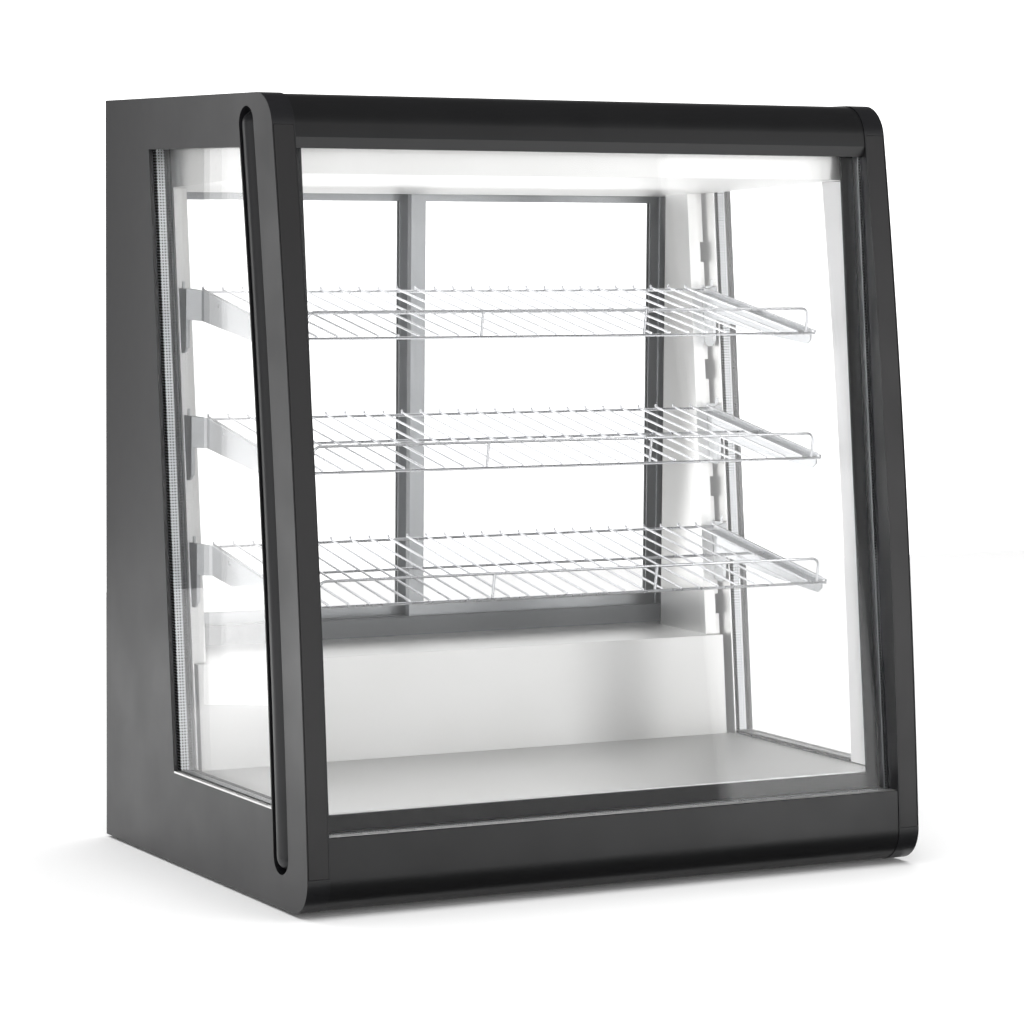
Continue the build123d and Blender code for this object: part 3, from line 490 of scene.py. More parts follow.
@dataclass(frozen=True)
class Finish:
    """A finish of the real object: one material and the record's slot that it stands for.

    Sizes are millimetres. The stains show the other colour, by the share of the tint. The smears move the
    roughness by the dulling, from below its middle to above it. The relief shows by its share.
    """

    name: str
    slot: str
    colour: str
    roughness: float
    metal: bool = False
    ior: float = 1.5
    edge_radius: float = 0.5
    other: str = "#808080"
    tint: float = 0.0
    stains: Clouds | None = None
    dulling: Pair = (-0.03, 0.04)
    smears: Clouds | None = None
    depth: float = 0.02
    relief_share: float = 0.3
    relief: Clouds | None = None

    def make(self) -> bpy.types.Material:
        """Builds the material.

        Returns:
            The material.
        """
        material = bpy.data.materials.new(self.name)
        material.use_nodes = True
        tree = material.node_tree
        tree.nodes.clear()
        add_node(tree, "OutputMaterial", links={"Surface": self.surface(tree)})
        return material

    def tinting(self, tree: Tree) -> Socket | None:
        """Share of the other colour, where the finish shows one.

        Args:
            tree: the material's tree.

        Returns:
            The socket with the share.
        """
        if self.stains is None:
            return None
        return map_range(tree, self.stains.build(tree), TINT_SPAN, (0.0, self.tint))

    def normals(self, tree: Tree) -> Socket:
        """Normals that round the sharp edges and carry the relief.

        Args:
            tree: the material's tree.

        Returns:
            The socket with the normals.
        """
        radius = {"Radius": self.edge_radius * MM}
        rounded = add_node(tree, "Bevel", radius, samples=EDGE_SAMPLES).outputs["Normal"]
        if self.relief is None:
            return rounded
        values = {"Strength": self.relief_share, "Distance": self.depth * MM}
        links = {"Height": self.relief.build(tree), "Normal": rounded}
        return add_node(tree, "Bump", values, links).outputs["Normal"]

    def further(self) -> dict[str, object]:
        """Further values of the shader."""
        return {}

    def surface(self, tree: Tree) -> Socket:
        """Shader with the finish's colour, gloss and normals.

        Args:
            tree: the material's tree.

        Returns:
            The socket with the shader.
        """
        values = {"Roughness": self.roughness, "Metallic": float(self.metal), **self.further()}
        values["Base Color"] = to_linear(self.colour)
        if not self.metal:
            values["IOR"] = self.ior
        links = {}
        tinting = self.tinting(tree)
        if tinting is not None:
            links["Base Color"] = mix_colours(tree, tinting, self.colour, self.other)
        if self.smears is not None:
            span = tuple(self.roughness + step for step in self.dulling)
            links["Roughness"] = map_range(tree, self.smears.build(tree), NOISE_SPAN, span)
        if self.edge_radius:
            links["Normal"] = self.normals(tree)
        return add_node(tree, "BsdfPrincipled", values, links).outputs["BSDF"]


@dataclass(frozen=True)
class MouldedPlastic(Finish):
    """ABS from a spark-eroded mould: satin. Its grain of 0.3 mm is drawn at 0.9 mm, so that it shows."""

    ior: float = 1.53
    dulling: Pair = (-0.03, 0.05)
    smears: Clouds = Clouds(70.0, FINE)
    relief_share: float = 0.35
    relief: Clouds = Clouds(0.9)


@dataclass(frozen=True)
class PowderCoat(Finish):
    """Polyester powder baked on steel: smooth, with the low waves of orange peel 2 mm apart."""

    smears: Clouds = Clouds(45.0)
    relief: Clouds = Clouds(2.2, EVEN)


STREAKS = Clouds(0.35, stretch=0.35 / 60)
UPRIGHT_STREAKS = Clouds(0.35, stretch=0.35 / 60, turn=Grain.UPRIGHT)


@dataclass(frozen=True)
class BrushedSheet(Finish):
    """Brushed stainless steel: streaks 60 mm long. Their pitch of 0.1 mm is drawn at 0.35 mm to show."""

    metal: bool = True
    other: str = "#ececea"
    tint: float = 0.35
    stains: Clouds = Clouds(120.0)
    smears: Clouds = STREAKS
    depth: float = 0.004
    relief_share: float = 0.15
    relief: Clouds = STREAKS


DIE_LINES = Clouds(0.6, EVEN, 0.004, Grain.UPRIGHT)


@dataclass(frozen=True)
class AnodisedAluminium(Finish):
    """Extruded aluminium, etched and anodised: a soft sheen with faint lines from the die."""

    metal: bool = True
    other: str = "#a6a8ab"
    tint: float = 0.3
    stains: Clouds = Clouds(90.0)
    dulling: Pair = (-0.03, 0.05)
    smears: Clouds = DIE_LINES
    depth: float = 0.008
    relief_share: float = 0.2
    relief: Clouds = DIE_LINES


@dataclass(frozen=True)
class PerforatedSpacer(Finish):
    """Roll-formed aluminium spacer with rows of breathing holes, 3 mm apart and 1.7 mm wide, drawn as dark dots
    of painted shade.
    """

    metal: bool = True
    # Colour of the holes: painted shade inside them, not a colour of the metal.
    other: str = "#3a3c3e"
    pitch: float = 3.0
    rim: Pair = (0.26, 0.32)

    def tinting(self, tree: Tree) -> Socket:
        """Share of the holes' painted shade: dark dots in rows over the width and height of the case.

        Args:
            tree: the material's tree.

        Returns:
            The socket with the share.
        """
        repeats = 1 / (self.pitch * MM)
        place = {"Vector": placed(tree, (repeats, 0.0, repeats))}
        cells = add_node(tree, "TexVoronoi", {"Scale": 1.0, "Randomness": 0.0}, place)
        return map_range(tree, cells.outputs["Distance"], self.rim, (1.0, 0.0))


@dataclass(frozen=True)
class GalvanisedSheet(Finish):
    """Hot-dip galvanised steel: dull grey zinc with faint crystals about 9 mm across."""

    metal: bool = True
    other: str = "#8d9194"
    tint: float = 0.25
    stains: Clouds = Crystals(9.0)
    dulling: Pair = (-0.04, 0.04)
    smears: Clouds = Crystals(9.0)


@dataclass(frozen=True)
class PlatedMetal(Finish):
    """Metal with a bright coat or a drawn skin: nearly even, with faint cloudy dulling."""

    metal: bool = True
    dulling: Pair = (0.0, 0.08)
    smears: Clouds = Clouds(14.0, FINE)


@dataclass(frozen=True)
class Enamel(Finish):
    """Stoved enamel on pressed steel: glossy, with slight waves where it ran."""

    depth: float = 0.03
    relief: Clouds = Clouds(8.0)
    coat: float = 0.4
    coat_roughness: float = 0.08

    def further(self) -> dict[str, object]:
        """Clear top of the enamel."""
        return {"Coat Weight": self.coat, "Coat Roughness": self.coat_roughness}


@dataclass(frozen=True)
class SealRubber(Finish):
    """Extruded EPDM seal: matt black with a pale bloom in patches."""

    other: str = "#1f2022"
    tint: float = 0.35
    stains: Clouds = Clouds(30.0)


@dataclass(frozen=True)
class FloatGlass(Finish):
    """Clear float glass, slightly uneven: it lets the light through and mirrors at a glance."""

    clearness: str = "#fefefe"
    least_mirror: float = 0.012
    glance_power: float = 5.0
    depth: float = 0.4
    relief_share: float = 0.05
    relief: Clouds = Clouds(160.0, EVEN)

    def surface(self, tree: Tree) -> Socket:
        """Clear pane with reflections by Fresnel.

        Args:
            tree: the material's tree.

        Returns:
            The socket with the shader.
        """
        values = {"Strength": self.relief_share, "Distance": self.depth * MM}
        waves = {"Height": self.relief.build(tree)}
        normal = {"Normal": add_node(tree, "Bump", values, waves).outputs["Normal"]}
        clear = add_node(tree, "BsdfTransparent", {"Color": to_linear(self.clearness)})
        gloss = {"Color": WHITE, "Roughness": self.roughness}
        mirror = add_node(tree, "BsdfGlossy", gloss, normal)
        slant = add_node(tree, "LayerWeight", {"Blend": 0.5}, normal).outputs["Facing"]
        glance = add_node(tree, "Math", {1: self.glance_power}, {0: slant}, operation="POWER")
        share = map_range(tree, glance.outputs["Value"], (0.0, 1.0), (self.least_mirror, 1.0))
        links = {0: share, 1: clear.outputs["BSDF"], 2: mirror.outputs["BSDF"]}
        return add_node(tree, "MixShader", None, links).outputs["Shader"]


@dataclass(frozen=True)
class OpalAcrylic(Finish):
    """Extruded opal acrylic: milky and softly glossy, with faint lines from the die."""

    ior: float = 1.49
    relief: Clouds = Clouds(1.5, EVEN, 0.01)
    milk: float = 0.3
    milk_depth: float = 2.0

    def further(self) -> dict[str, object]:
        """Light that scatters under the surface."""
        return {"Subsurface Weight": self.milk, "Subsurface Radius": (self.milk_depth * MM,) * 3}


@dataclass(frozen=True)
class StudioPaper(Finish):
    """Matt paper or card of a studio, with its faint fibre."""

    other: str = "#f4f4f4"
    tint: float = 0.5
    stains: Clouds = Clouds(3.0, FINE)
    edge_radius: float = 0.0
    glow: float = 0.05
    shine: float = 0.1

    def further(self) -> dict[str, object]:
        """Glow of paper that is lit a little from below as well, as on a light table."""
        return {"Emission Color": WHITE, "Emission Strength": self.glow, "Specular IOR Level": self.shine}


@dataclass
class Finishes:
    """All the finishes, each built once when it is first asked for."""

    made: dict[str, bpy.types.Material] = field(default_factory=dict)

    def get(self, finish: Finish) -> bpy.types.Material:
        """Material of a finish.

        Args:
            finish: the finish.

        Returns:
            The material, made only once.
        """
        if finish.name not in self.made:
            self.made[finish.name] = finish.make()
        return self.made[finish.name]

    def dress(self, piece: Piece, finish: Finish) -> None:
        """Gives a piece its finish, on the object's own material slots.

        Args:
            piece: a new piece or a node of the model.
            finish: its finish.
        """
        material = self.get(finish)
        if not piece.material_slots:
            piece.data.materials.append(material)
        for slot in piece.material_slots:
            slot.link = "OBJECT"
            slot.material = material


BLACK_ABS = MouldedPlastic("moulded_black_abs", "black_moulding", "#19191b", 0.36)
STRIP_ABS = MouldedPlastic("moulded_black_abs_strip", "black_moulding", "#171617", 0.42)
PLAIN_ABS = MouldedPlastic("matt_black_abs", "black_plastic", "#1e1f21", 0.5, depth=0.008)
TRACK_ABS = MouldedPlastic("grey_abs_door_track", "black_plastic", "#747678", 0.42, depth=0.008)
BLACK_COAT = PowderCoat("black_powder_coat_on_steel", "black_powder_coat", "#161617", 0.34)
EPDM = SealRubber("epdm_seal_rubber", "black_rubber", "#141416", 0.75)
STAINLESS = BrushedSheet("brushed_stainless_sheet", "brushed_stainless", "#f4f4f3", 0.5)
STAINLESS_UPRIGHT = BrushedSheet(
    "upright_brushed_stainless",
    "brushed_stainless",
    "#f2f2f1",
    0.4,
    other="#e6e6e4",
    smears=UPRIGHT_STREAKS,
    relief=UPRIGHT_STREAKS,
)
FRAME_ALUMINIUM = AnodisedAluminium("anodised_aluminium", "satin_aluminium", "#b0b2b4", 0.4)
SPACER = PerforatedSpacer("perforated_aluminium_spacer", "satin_aluminium", "#d2d4d6", 0.3)
COIL = PlatedMetal("mill_finish_aluminium_fins", "satin_aluminium", "#b9bbbd", 0.35)
ZINC = PlatedMetal("zinc_plated_pressed_steel", "zinc_plated_steel", "#c9cbcd", 0.3)
CHROME = PlatedMetal("chromed_steel_wire", "chromed_wire", "#dcdde0", 0.24, edge_radius=0.2)
GALVANISED = GalvanisedSheet("galvanised_steel_sheet", "galvanised_steel", "#a4a8ab", 0.42)
COMPRESSOR_ENAMEL = Enamel("black_stoved_enamel", "black_enamel", "#101012", 0.22)
COPPER = PlatedMetal("drawn_copper_tube", "copper_tube", "#c8805c", 0.24)
GLASS = FloatGlass("clear_float_glass", "clear_glass", "#ffffff", 0.0)
OPAL = OpalAcrylic("opal_acrylic", "frosted_acrylic", "#f5f5f6", 0.35)
PAPER = StudioPaper("white_studio_paper", "", "#fbfbfb", 0.9)
CARD = StudioPaper("black_studio_card", "", "#060606", 0.9, glow=0.0, other="#0b0b0b")


# Sub-assemblies


@dataclass
class SubAssembly:
    """A group of pieces that are built, dressed and reported together."""

    finishes: Finishes
    body: str = "case"

    def keep(self, piece: Piece, finish: Finish, *nodes: str) -> Piece:
        """Dresses a new piece and lets it stand for nodes of the model.

        Args:
            piece: the new piece.
            finish: its finish.
            nodes: the nodes that it stands for.

        Returns:
            The piece.
        """
        self.finishes.dress(piece, finish)
        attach(piece, self.body)
        if nodes:
            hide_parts(*nodes)
        log.info("made %s for %s", piece.name, ", ".join(nodes) or "detail")
        return piece


@dataclass
class SidePanel(SubAssembly):
    """One moulded panel with its window and groove, its edge strip, half-round bar and jamb lining."""

    side: Side = Side.LEFT
    window_top: float = 732.5
    window_bottom: float = 95.4
    window_rear: float = 187.5
    window_lean: float = 0.1062
    window_inset: float = 79.0
    window_lip: float = 4.0
    window_rebate: float = 8.0
    ledge: float = 2.0
    ledge_gap: float = 0.3
    groove_inset: float = 60.0
    groove_width: float = 34.0
    groove_depth: float = 10.0
    groove_low: float = 50.0
    groove_high: float = 755.0
    bar_radius: float = 13.0
    strip_low: float = 37.0
    strip_high: float = 754.0
    strip_thickness: float = 2.0
    strip_margin: float = 1.0
    strip_gap: float = 0.3
    corner_room: float = 55.0
    lining_low: float = 94.0
    lining_high: float = 706.0
    lining_inset: float = 87.0
    lining_thickness: float = 0.6
    unit_room: float = 21.4
    over: float = 1.0
    panel_edge: float = 0.8
    strip_edge: float = 0.5
    lining_edge: float = 0.2
    groove_steps: int = 32
    groove_merge: float = 0.02
    bar_steps: int = 48
    round_steps: int = 20

    def x(self, distance: float) -> float:
        """Place on this side, as a distance to the right of the middle."""
        return self.side.value * distance

    def window(self, margin: float) -> list[Pair]:
        """Outline of the window, grown at its top, rear and bottom.

        Args:
            margin: how far it is grown.

        Returns:
            The outline's points.
        """
        low = self.window_bottom - margin
        high = self.window_top + margin
        rear = [
            (self.window_rear - self.window_lean * (height - self.window_bottom) - margin, height)
            for height in (high, low)
        ]
        return FORM.front_run(low, high, self.window_inset) + rear

    def band(self, low: float, high: float, near: float, far: float) -> list[Pair]:
        """Outline of a band between two insets of the front edge."""
        return FORM.front_run(low, high, near) + FORM.front_run(high, low, far)

    def groove(self) -> Piece:
        """Cutter of the round-ended groove.

        Returns:
            The cutter.
        """
        bm = bmesh.new()
        floor = self.x(FORM.half_width - self.groove_depth)
        top = self.x(FORM.half_width + self.over)
        half = self.groove_width / 2
        rows = [
            [
                bm.verts.new(FORM.place(floor, *point))
                for point in FORM.front_run(self.groove_low, self.groove_high, inset, self.groove_steps)
            ]
            for inset in (self.groove_inset - half, self.groove_inset + half)
        ]
        for row in rows:
            for one, other in zip(row, row[1:]):
                bm.edges.new((one, other))
        for height, start in ((self.groove_low, rows[0][0]), (self.groove_high, rows[1][-1])):
            end, _ = self.on_groove(height)
            bmesh.ops.spin(bm, geom=[start], cent=end, axis=ACROSS, angle=STRAIGHT, steps=self.round_steps)
        bmesh.ops.remove_doubles(bm, verts=bm.verts, dist=self.groove_merge * MM)
        bmesh.ops.edgeloop_fill(bm, edges=bm.edges)
        pull_out(bm, ACROSS * (top - floor) * MM)
        return finish_mesh("groove_cutter", bm)

    def panel(self) -> Piece:
        """The panel, cut for its window, groove and edge strip.

        Returns:
            The panel.
        """
        top = FORM.panel_height
        edge = FORM.front_run(self.corner_room, top - self.corner_room, 0)
        outline = [(0.0, 0.0), FORM.on_front(0, 0), *edge, FORM.on_front(top, 0), (0.0, top)]
        corners = {1: FORM.bottom_corner, len(outline) - 2: FORM.top_corner}
        name = f"{self.side.word}_panel_moulding"
        piece = prism(name, outline, self.x(FORM.inner_half), self.x(FORM.half_width), corners)
        lip = self.x(FORM.half_width - self.window_lip)
        below = self.x(FORM.inner_half - self.over)
        above = self.x(FORM.half_width + self.over)
        rear = self.window_rear
        front = FORM.reach(self.window_bottom, self.window_inset) - self.ledge_gap
        low = self.window_bottom - self.ledge
        high = self.window_bottom + self.over
        notch = [(rear, low), (front, low), (front, high), (rear, high)]
        strip = self.band(self.strip_low, self.strip_high, -self.over, self.strip_thickness)
        strip_inner = self.x(FORM.inner_half + self.strip_margin)
        strip_outer = self.x(FORM.half_width - self.strip_margin)
        cutters = [
            prism("rebate_cutter", self.window(self.window_rebate), below, lip),
            prism("window_cutter", self.window(0), below, above),
            prism("ledge_cutter", notch, lip - self.x(self.over), above),
            prism("strip_cutter", strip, strip_inner, strip_outer),
            self.groove(),
        ]
        cut_away(piece, cutters)
        return soften(piece, self.panel_edge, 3)

    def strip(self) -> Piece:
        """Strip on the front edge of the panel.

        Returns:
            The strip.
        """
        inner = self.x(FORM.inner_half + self.strip_margin)
        outer = self.x(FORM.half_width - self.strip_margin - 2 * self.strip_gap)
        outline = self.band(self.strip_low, self.strip_high, 0, self.strip_thickness - self.strip_gap)
        return soften(prism(f"{self.side.word}_edge_strip", outline, inner, outer), self.strip_edge)

    def on_groove(self, height: float) -> tuple[Vector, Vector]:
        """Point of the groove's floor, seen from the middle of its curve too.

        Args:
            height: height of the point.

        Returns:
            The point, and the way to it from the middle of the curve, in metres.
        """
        floor = self.x(FORM.half_width - self.groove_depth)
        centre_reach, centre_height, _ = FORM.front_circle
        point = FORM.place(floor, *FORM.on_front(height, self.groove_inset))
        return point, point - FORM.place(floor, centre_reach, centre_height)

    def bar(self) -> Piece:
        """Half-round bar, spun about the far centre of the front curve.

        Returns:
            The bar.
        """
        foot, foot_arm = self.on_groove(self.groove_low)
        head, head_arm = self.on_groove(self.groove_high)
        outward = foot_arm.normalized()
        along = ACROSS.cross(outward)
        bm = bmesh.new()
        rim = bm.verts.new(foot + outward * self.bar_radius * MM)
        half_turn = -self.x(STRAIGHT)
        bmesh.ops.spin(bm, geom=[rim], cent=foot, axis=along, angle=half_turn, steps=self.round_steps)
        ends = sorted(bm.verts, key=lambda v: (v.co - foot).dot(outward))
        bm.edges.new((ends[0], ends[-1]))
        sense = 1.0 if along.dot(head - foot) > 0 else -1.0
        bmesh.ops.spin(
            bm,
            geom=list(bm.verts) + list(bm.edges),
            cent=foot - foot_arm,
            axis=ACROSS,
            angle=sense * foot_arm.angle(head_arm),
            steps=self.bar_steps,
        )
        bmesh.ops.holes_fill(bm, edges=bm.edges, sides=0)
        return finish_mesh(f"{self.side.word}_half_round_bar", bm)

    def end_cap(self, height: float, name: str) -> Piece:
        """Rounded end of a bar, half a dome.

        Args:
            height: height of the bar's end.
            name: name of the piece.

        Returns:
            The end cap.
        """
        end, arm = self.on_groove(height)
        along = ACROSS.cross(arm.normalized())
        beyond = along if along.z * (height - FORM.panel_height / 2) > 0 else -along
        bm = bmesh.new()
        bmesh.ops.create_uvsphere(
            bm,
            u_segments=2 * self.round_steps,
            v_segments=self.round_steps,
            radius=self.bar_radius * MM,
            matrix=Matrix.Translation(end),
        )
        for normal in (ACROSS * self.side.value, beyond):
            cut = bmesh.ops.bisect_plane(
                bm,
                geom=list(bm.verts) + list(bm.edges) + list(bm.faces),
                plane_co=end,
                plane_no=normal,
                dist=MERGE_DISTANCE / 10,
                clear_inner=True,
            )["geom_cut"]
            bmesh.ops.edgeloop_fill(bm, edges=[e for e in cut if isinstance(e, bmesh.types.BMEdge)])
        return finish_mesh(name, bm)

    def jamb_lining(self) -> Piece:
        """White lining of the inner face, between the front glass unit and the window.

        Returns:
            The lining.
        """
        low, high = self.lining_low, self.lining_high
        near = [(FORM.on_glass(height)[0] - self.unit_room, height) for height in (low, high)]
        outline = near + FORM.front_run(high, low, self.lining_inset)
        proud = self.x(FORM.inner_half - self.lining_thickness)
        piece = prism(f"{self.side.word}_jamb_lining", outline, proud, self.x(FORM.inner_half))
        return soften(piece, self.lining_edge)

    def build(self) -> None:
        """Builds the panel and all that it carries."""
        word = self.side.word
        self.keep(self.panel(), BLACK_ABS, f"{word}_side_panel")
        self.keep(self.bar(), BLACK_ABS, f"{word}_trim_bar")
        self.keep(self.jamb_lining(), OPAL)
        self.keep(self.strip(), STRIP_ABS, "front_edge_strips")
        for height, end in ((self.groove_low, "foot"), (self.groove_high, "head")):
            self.keep(self.end_cap(height, f"{word}_bar_{end}"), BLACK_ABS, "bar_end_caps")


@dataclass
class Covers(SubAssembly):
    """The folded top cover with its lip, and the bottom cover, both bent from coated sheet."""

    inset: float = 1.0
    sheet: float = 2.0
    top: float = 784.0
    top_rear: float = 300.0
    lip_edge: float = 742.0
    lip_root: float = 740.0
    lip_inner: float = 745.0
    top_radius: float = 35.0
    bottom: float = 0.5
    bottom_rear: float = 440.0
    bottom_radius: float = 33.0
    toe_height: float = 40.5
    ledge_height: float = 76.0
    top_edge: float = 0.6
    bottom_edge: float = 0.5
    face_steps: int = 4

    def bent_sheet(self, name: str, outline: list[Pair], corners: dict[int, float], edge: float) -> None:
        """Makes a cover from its outline and lets it stand for its node."""
        piece = prism(f"{name}_sheet", outline, -FORM.inner_half, FORM.inner_half, corners)
        self.keep(soften(piece, edge), BLACK_COAT, name)

    def top_cover(self) -> None:
        """Makes the top cover."""
        inner = self.inset + self.sheet
        outline = [
            FORM.on_glass(self.lip_root),
            FORM.on_front(self.lip_inner, inner),
            FORM.on_front(self.top - self.sheet, inner),
            (self.top_rear, self.top - self.sheet),
            (self.top_rear, self.top),
            FORM.on_front(self.top, self.inset),
            FORM.on_front(self.lip_edge, self.inset),
            FORM.on_glass(FORM.lip_tip),
        ]
        corners = {2: self.top_radius - self.sheet, 5: self.top_radius}
        self.bent_sheet("top_cover", outline, corners, self.top_edge)

    def bottom_cover(self) -> None:
        """Makes the bottom cover."""
        inner = self.inset + self.sheet
        outline = [
            (self.bottom_rear, self.bottom),
            FORM.on_front(self.bottom, self.inset),
            *FORM.front_run(self.toe_height, self.ledge_height, self.inset, self.face_steps),
            *FORM.front_run(self.ledge_height, self.toe_height, inner, self.face_steps),
            FORM.on_front(self.bottom + self.sheet, inner),
            (self.bottom_rear, self.bottom + self.sheet),
        ]
        corners = {1: self.bottom_radius, len(outline) - 2: self.bottom_radius - self.sheet}
        self.bent_sheet("bottom_cover", outline, corners, self.bottom_edge)

    def build(self) -> None:
        """Builds both covers."""
        self.top_cover()
        self.bottom_cover()


@dataclass
class WireShelf(SubAssembly):
    """One tilted shelf of welded wire, with its guard rail."""

    name: str = "top"
    level: int = 0
    rear_height: float = 589.0
    rear_reach: float = 146.01
    step_down: float = 131.0
    step_forward: float = 14.2135
    drop: float = 40.0
    run: float = 230.0
    cross_radius: float = 1.25
    long_radius: float = 1.5
    pitch: float = 22.3
    wires: int = 28
    length: float = 236.5
    half_width: float = 302.0
    long_places: tuple[float, ...] = (1.6, 113.5, 234.9)
    tip: float = 1.6
    tip_bend: float = 1.8
    guard_height: float = 24.0
    guard_half: float = 290.0
    guard_bend: float = 8.0
    posts: tuple[float, ...] = (-96.0, 93.0)

    def point(self, x: float, along: float, above: float) -> Vector:
        """Point of the shelf in metres.

        Args:
            x: distance to the right of the middle.
            along: distance from the rear edge along the tilted wires.
            above: height above the wires' middle, square to the shelf.

        Returns:
            The point.
        """
        tilt = math.atan2(self.drop, self.run)
        forward = self.rear_reach + self.level * self.step_forward
        height = self.rear_height - self.level * self.step_down
        run, rise = math.cos(tilt), math.sin(tilt)
        return FORM.place(x, forward + along * run + above * rise, height - along * rise + above * run)

    def wires_for(self, name: str, runs: list[list[Vector]], radius: float, bend: float, node: str) -> None:
        """Makes wires of the shelf and lets them stand for a node of the model."""
        self.keep(bent_wires(f"{self.name}_{name}", runs, radius, bend), CHROME, f"shelf_{self.name}{node}")

    def grid(self) -> None:
        """Makes the cross wires with upturned rear tips, on three long wires."""
        thick = self.cross_radius
        first = -self.pitch * (self.wires - 1) / 2
        cross = [
            [self.point(x, thick, self.tip + thick), self.point(x, thick, 0), self.point(x, self.length, 0)]
            for x in (first + self.pitch * i for i in range(self.wires))
        ]
        half, under = self.half_width, -(self.cross_radius + self.long_radius)
        long = [[self.point(-half, along, under), self.point(half, along, under)] for along in self.long_places]
        self.wires_for("shelf_wires", cross, self.cross_radius, self.tip_bend, "")
        self.wires_for("shelf_long_wires", long, self.long_radius, 0.0, "_long_wires")

    def guard(self) -> None:
        """Makes the guard rail, a bent wire with two posts."""
        along = self.long_places[-1]
        low, high = -self.cross_radius, self.guard_height
        half = self.guard_half
        corners = ((-half, low), (-half, high), (half, high), (half, low))
        rail = [self.point(x, along, above) for x, above in corners]
        posts = [[self.point(x, along, low), self.point(x, along, high)] for x in self.posts]
        self.wires_for("guard_rail", [rail], self.long_radius, self.guard_bend, "_guard")
        self.wires_for("guard_posts", posts, self.long_radius, 0.0, "_guard")

    def build(self) -> None:
        """Builds the shelf and its guard."""
        self.grid()
        self.guard()


@dataclass
class RearScrews(SubAssembly):
    """Pan-head screws that hold the rear panel."""

    columns: tuple[float, ...] = (-310.0, 0.0, 310.0)
    rows: tuple[float, ...] = (12.0, 190.0)
    radius: float = 4.0
    height: float = 1.6
    panel_reach: float = 3.0
    rounding: float = 0.7
    socket: float = 1.1
    socket_depth: float = 1.0
    sides: int = 24
    rounding_steps: int = 4

    def screw(self, x: float, height: float, name: str) -> Piece:
        """One screw head with a round socket.

        Args:
            x: distance to the right of the middle.
            height: height above the panels' foot.
            name: name of the piece.

        Returns:
            The screw head.
        """
        bm = bmesh.new()
        seat = FORM.place(x, self.panel_reach, height)
        turned = Matrix.Translation(seat) @ Matrix.Rotation(-RIGHT_ANGLE, 4, "X")
        radius = self.radius * MM
        bmesh.ops.create_circle(bm, cap_ends=True, segments=self.sides, radius=radius, matrix=turned)
        face = pull_out(bm, Vector((0, self.height * MM, 0)))[0]
        round_off(bm, list(face.edges), self.rounding * MM, self.rounding_steps, "EDGES")
        top = max(bm.faces, key=lambda f: f.calc_center_median().y)
        rim = self.radius - self.rounding - self.socket
        bmesh.ops.inset_region(bm, faces=[top], thickness=rim * MM)
        floor = bmesh.ops.extrude_discrete_faces(bm, faces=[top])["faces"][0]
        bmesh.ops.translate(bm, verts=list(floor.verts), vec=Vector((0, -self.socket_depth * MM, 0)))
        return finish_mesh(name, bm)

    def build(self) -> None:
        """Builds all the screw heads."""
        for i, x in enumerate(self.columns):
            for j, height in enumerate(self.rows):
                self.keep(self.screw(x, height, f"rear_screw_{i}_{j}"), ZINC)


DRESSED_NODES = {
    BLACK_COAT: ("top_panel",),
    EPDM: ("front_gasket", "side_gaskets", "feet"),
    SPACER: ("side_spacers", "front_spacer"),
    FRAME_ALUMINIUM: ("left_door_frame", "right_door_frame"),
    COIL: ("condenser_coil",),
    STAINLESS: ("front_vent_ledge", "side_vent_ledges", "deck_plate", "duct_cover", "ceiling_housing"),
    STAINLESS_UPRIGHT: ("left_liner", "right_liner", "left_upright", "right_upright"),
    ZINC: ("top_shelf_brackets", "mid_shelf_brackets", "low_shelf_brackets"),
    GLASS: (
        "front_outer_pane", "front_inner_pane", "left_outer_pane", "right_outer_pane", "left_inner_pane",
        "right_inner_pane", "left_door_glass", "right_door_glass",
    ),
    TRACK_ABS: ("door_frame",),
    PLAIN_ABS: (
        "condenser_fan_housing", "condenser_fan_blades", "power_inlet", "light_switch_rocker",
        "thermostat_knob",
    ),
    GALVANISED: ("rear_panel", "base_pan", "control_plate"),
    COMPRESSOR_ENAMEL: ("compressor",),
    COPPER: ("refrigerant_pipe",),
    OPAL: ("lamp_diffuser",),
}


@dataclass
class CadDress(SubAssembly):
    """Finishes of the nodes whose shape is right as it is."""

    nodes: dict[Finish, tuple[str, ...]] = field(default_factory=lambda: dict(DRESSED_NODES))

    def build(self) -> None:
        """Dresses each node."""
        for finish, names in self.nodes.items():
            for name in names:
                self.finishes.dress(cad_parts[name], finish)
                log.info("dressed %s in %s", name, finish.name)


# Studio


@dataclass(frozen=True)
class SoftLight:
    """One rectangular soft light, with its place, aim and size in metres and its power in watts."""

    name: str
    at: Vector
    aim: Vector
    size: Pair
    power: float
    mirrored: bool = True

    def build(self) -> None:
        """Builds the light, which only reflections may show."""
        light = bpy.data.lights.new(self.name, "AREA")
        light.shape = "RECTANGLE"
        light.size, light.size_y = self.size
        light.energy = self.power
        lamp = bpy.data.objects.new(self.name, light)
        lamp.location = self.at
        lamp.rotation_mode = "QUATERNION"
        lamp.rotation_quaternion = (self.aim - self.at).to_track_quat("-Z", "Y")
        lamp.visible_camera = False
        lamp.visible_glossy = self.mirrored
        bpy.context.scene.collection.objects.link(lamp)


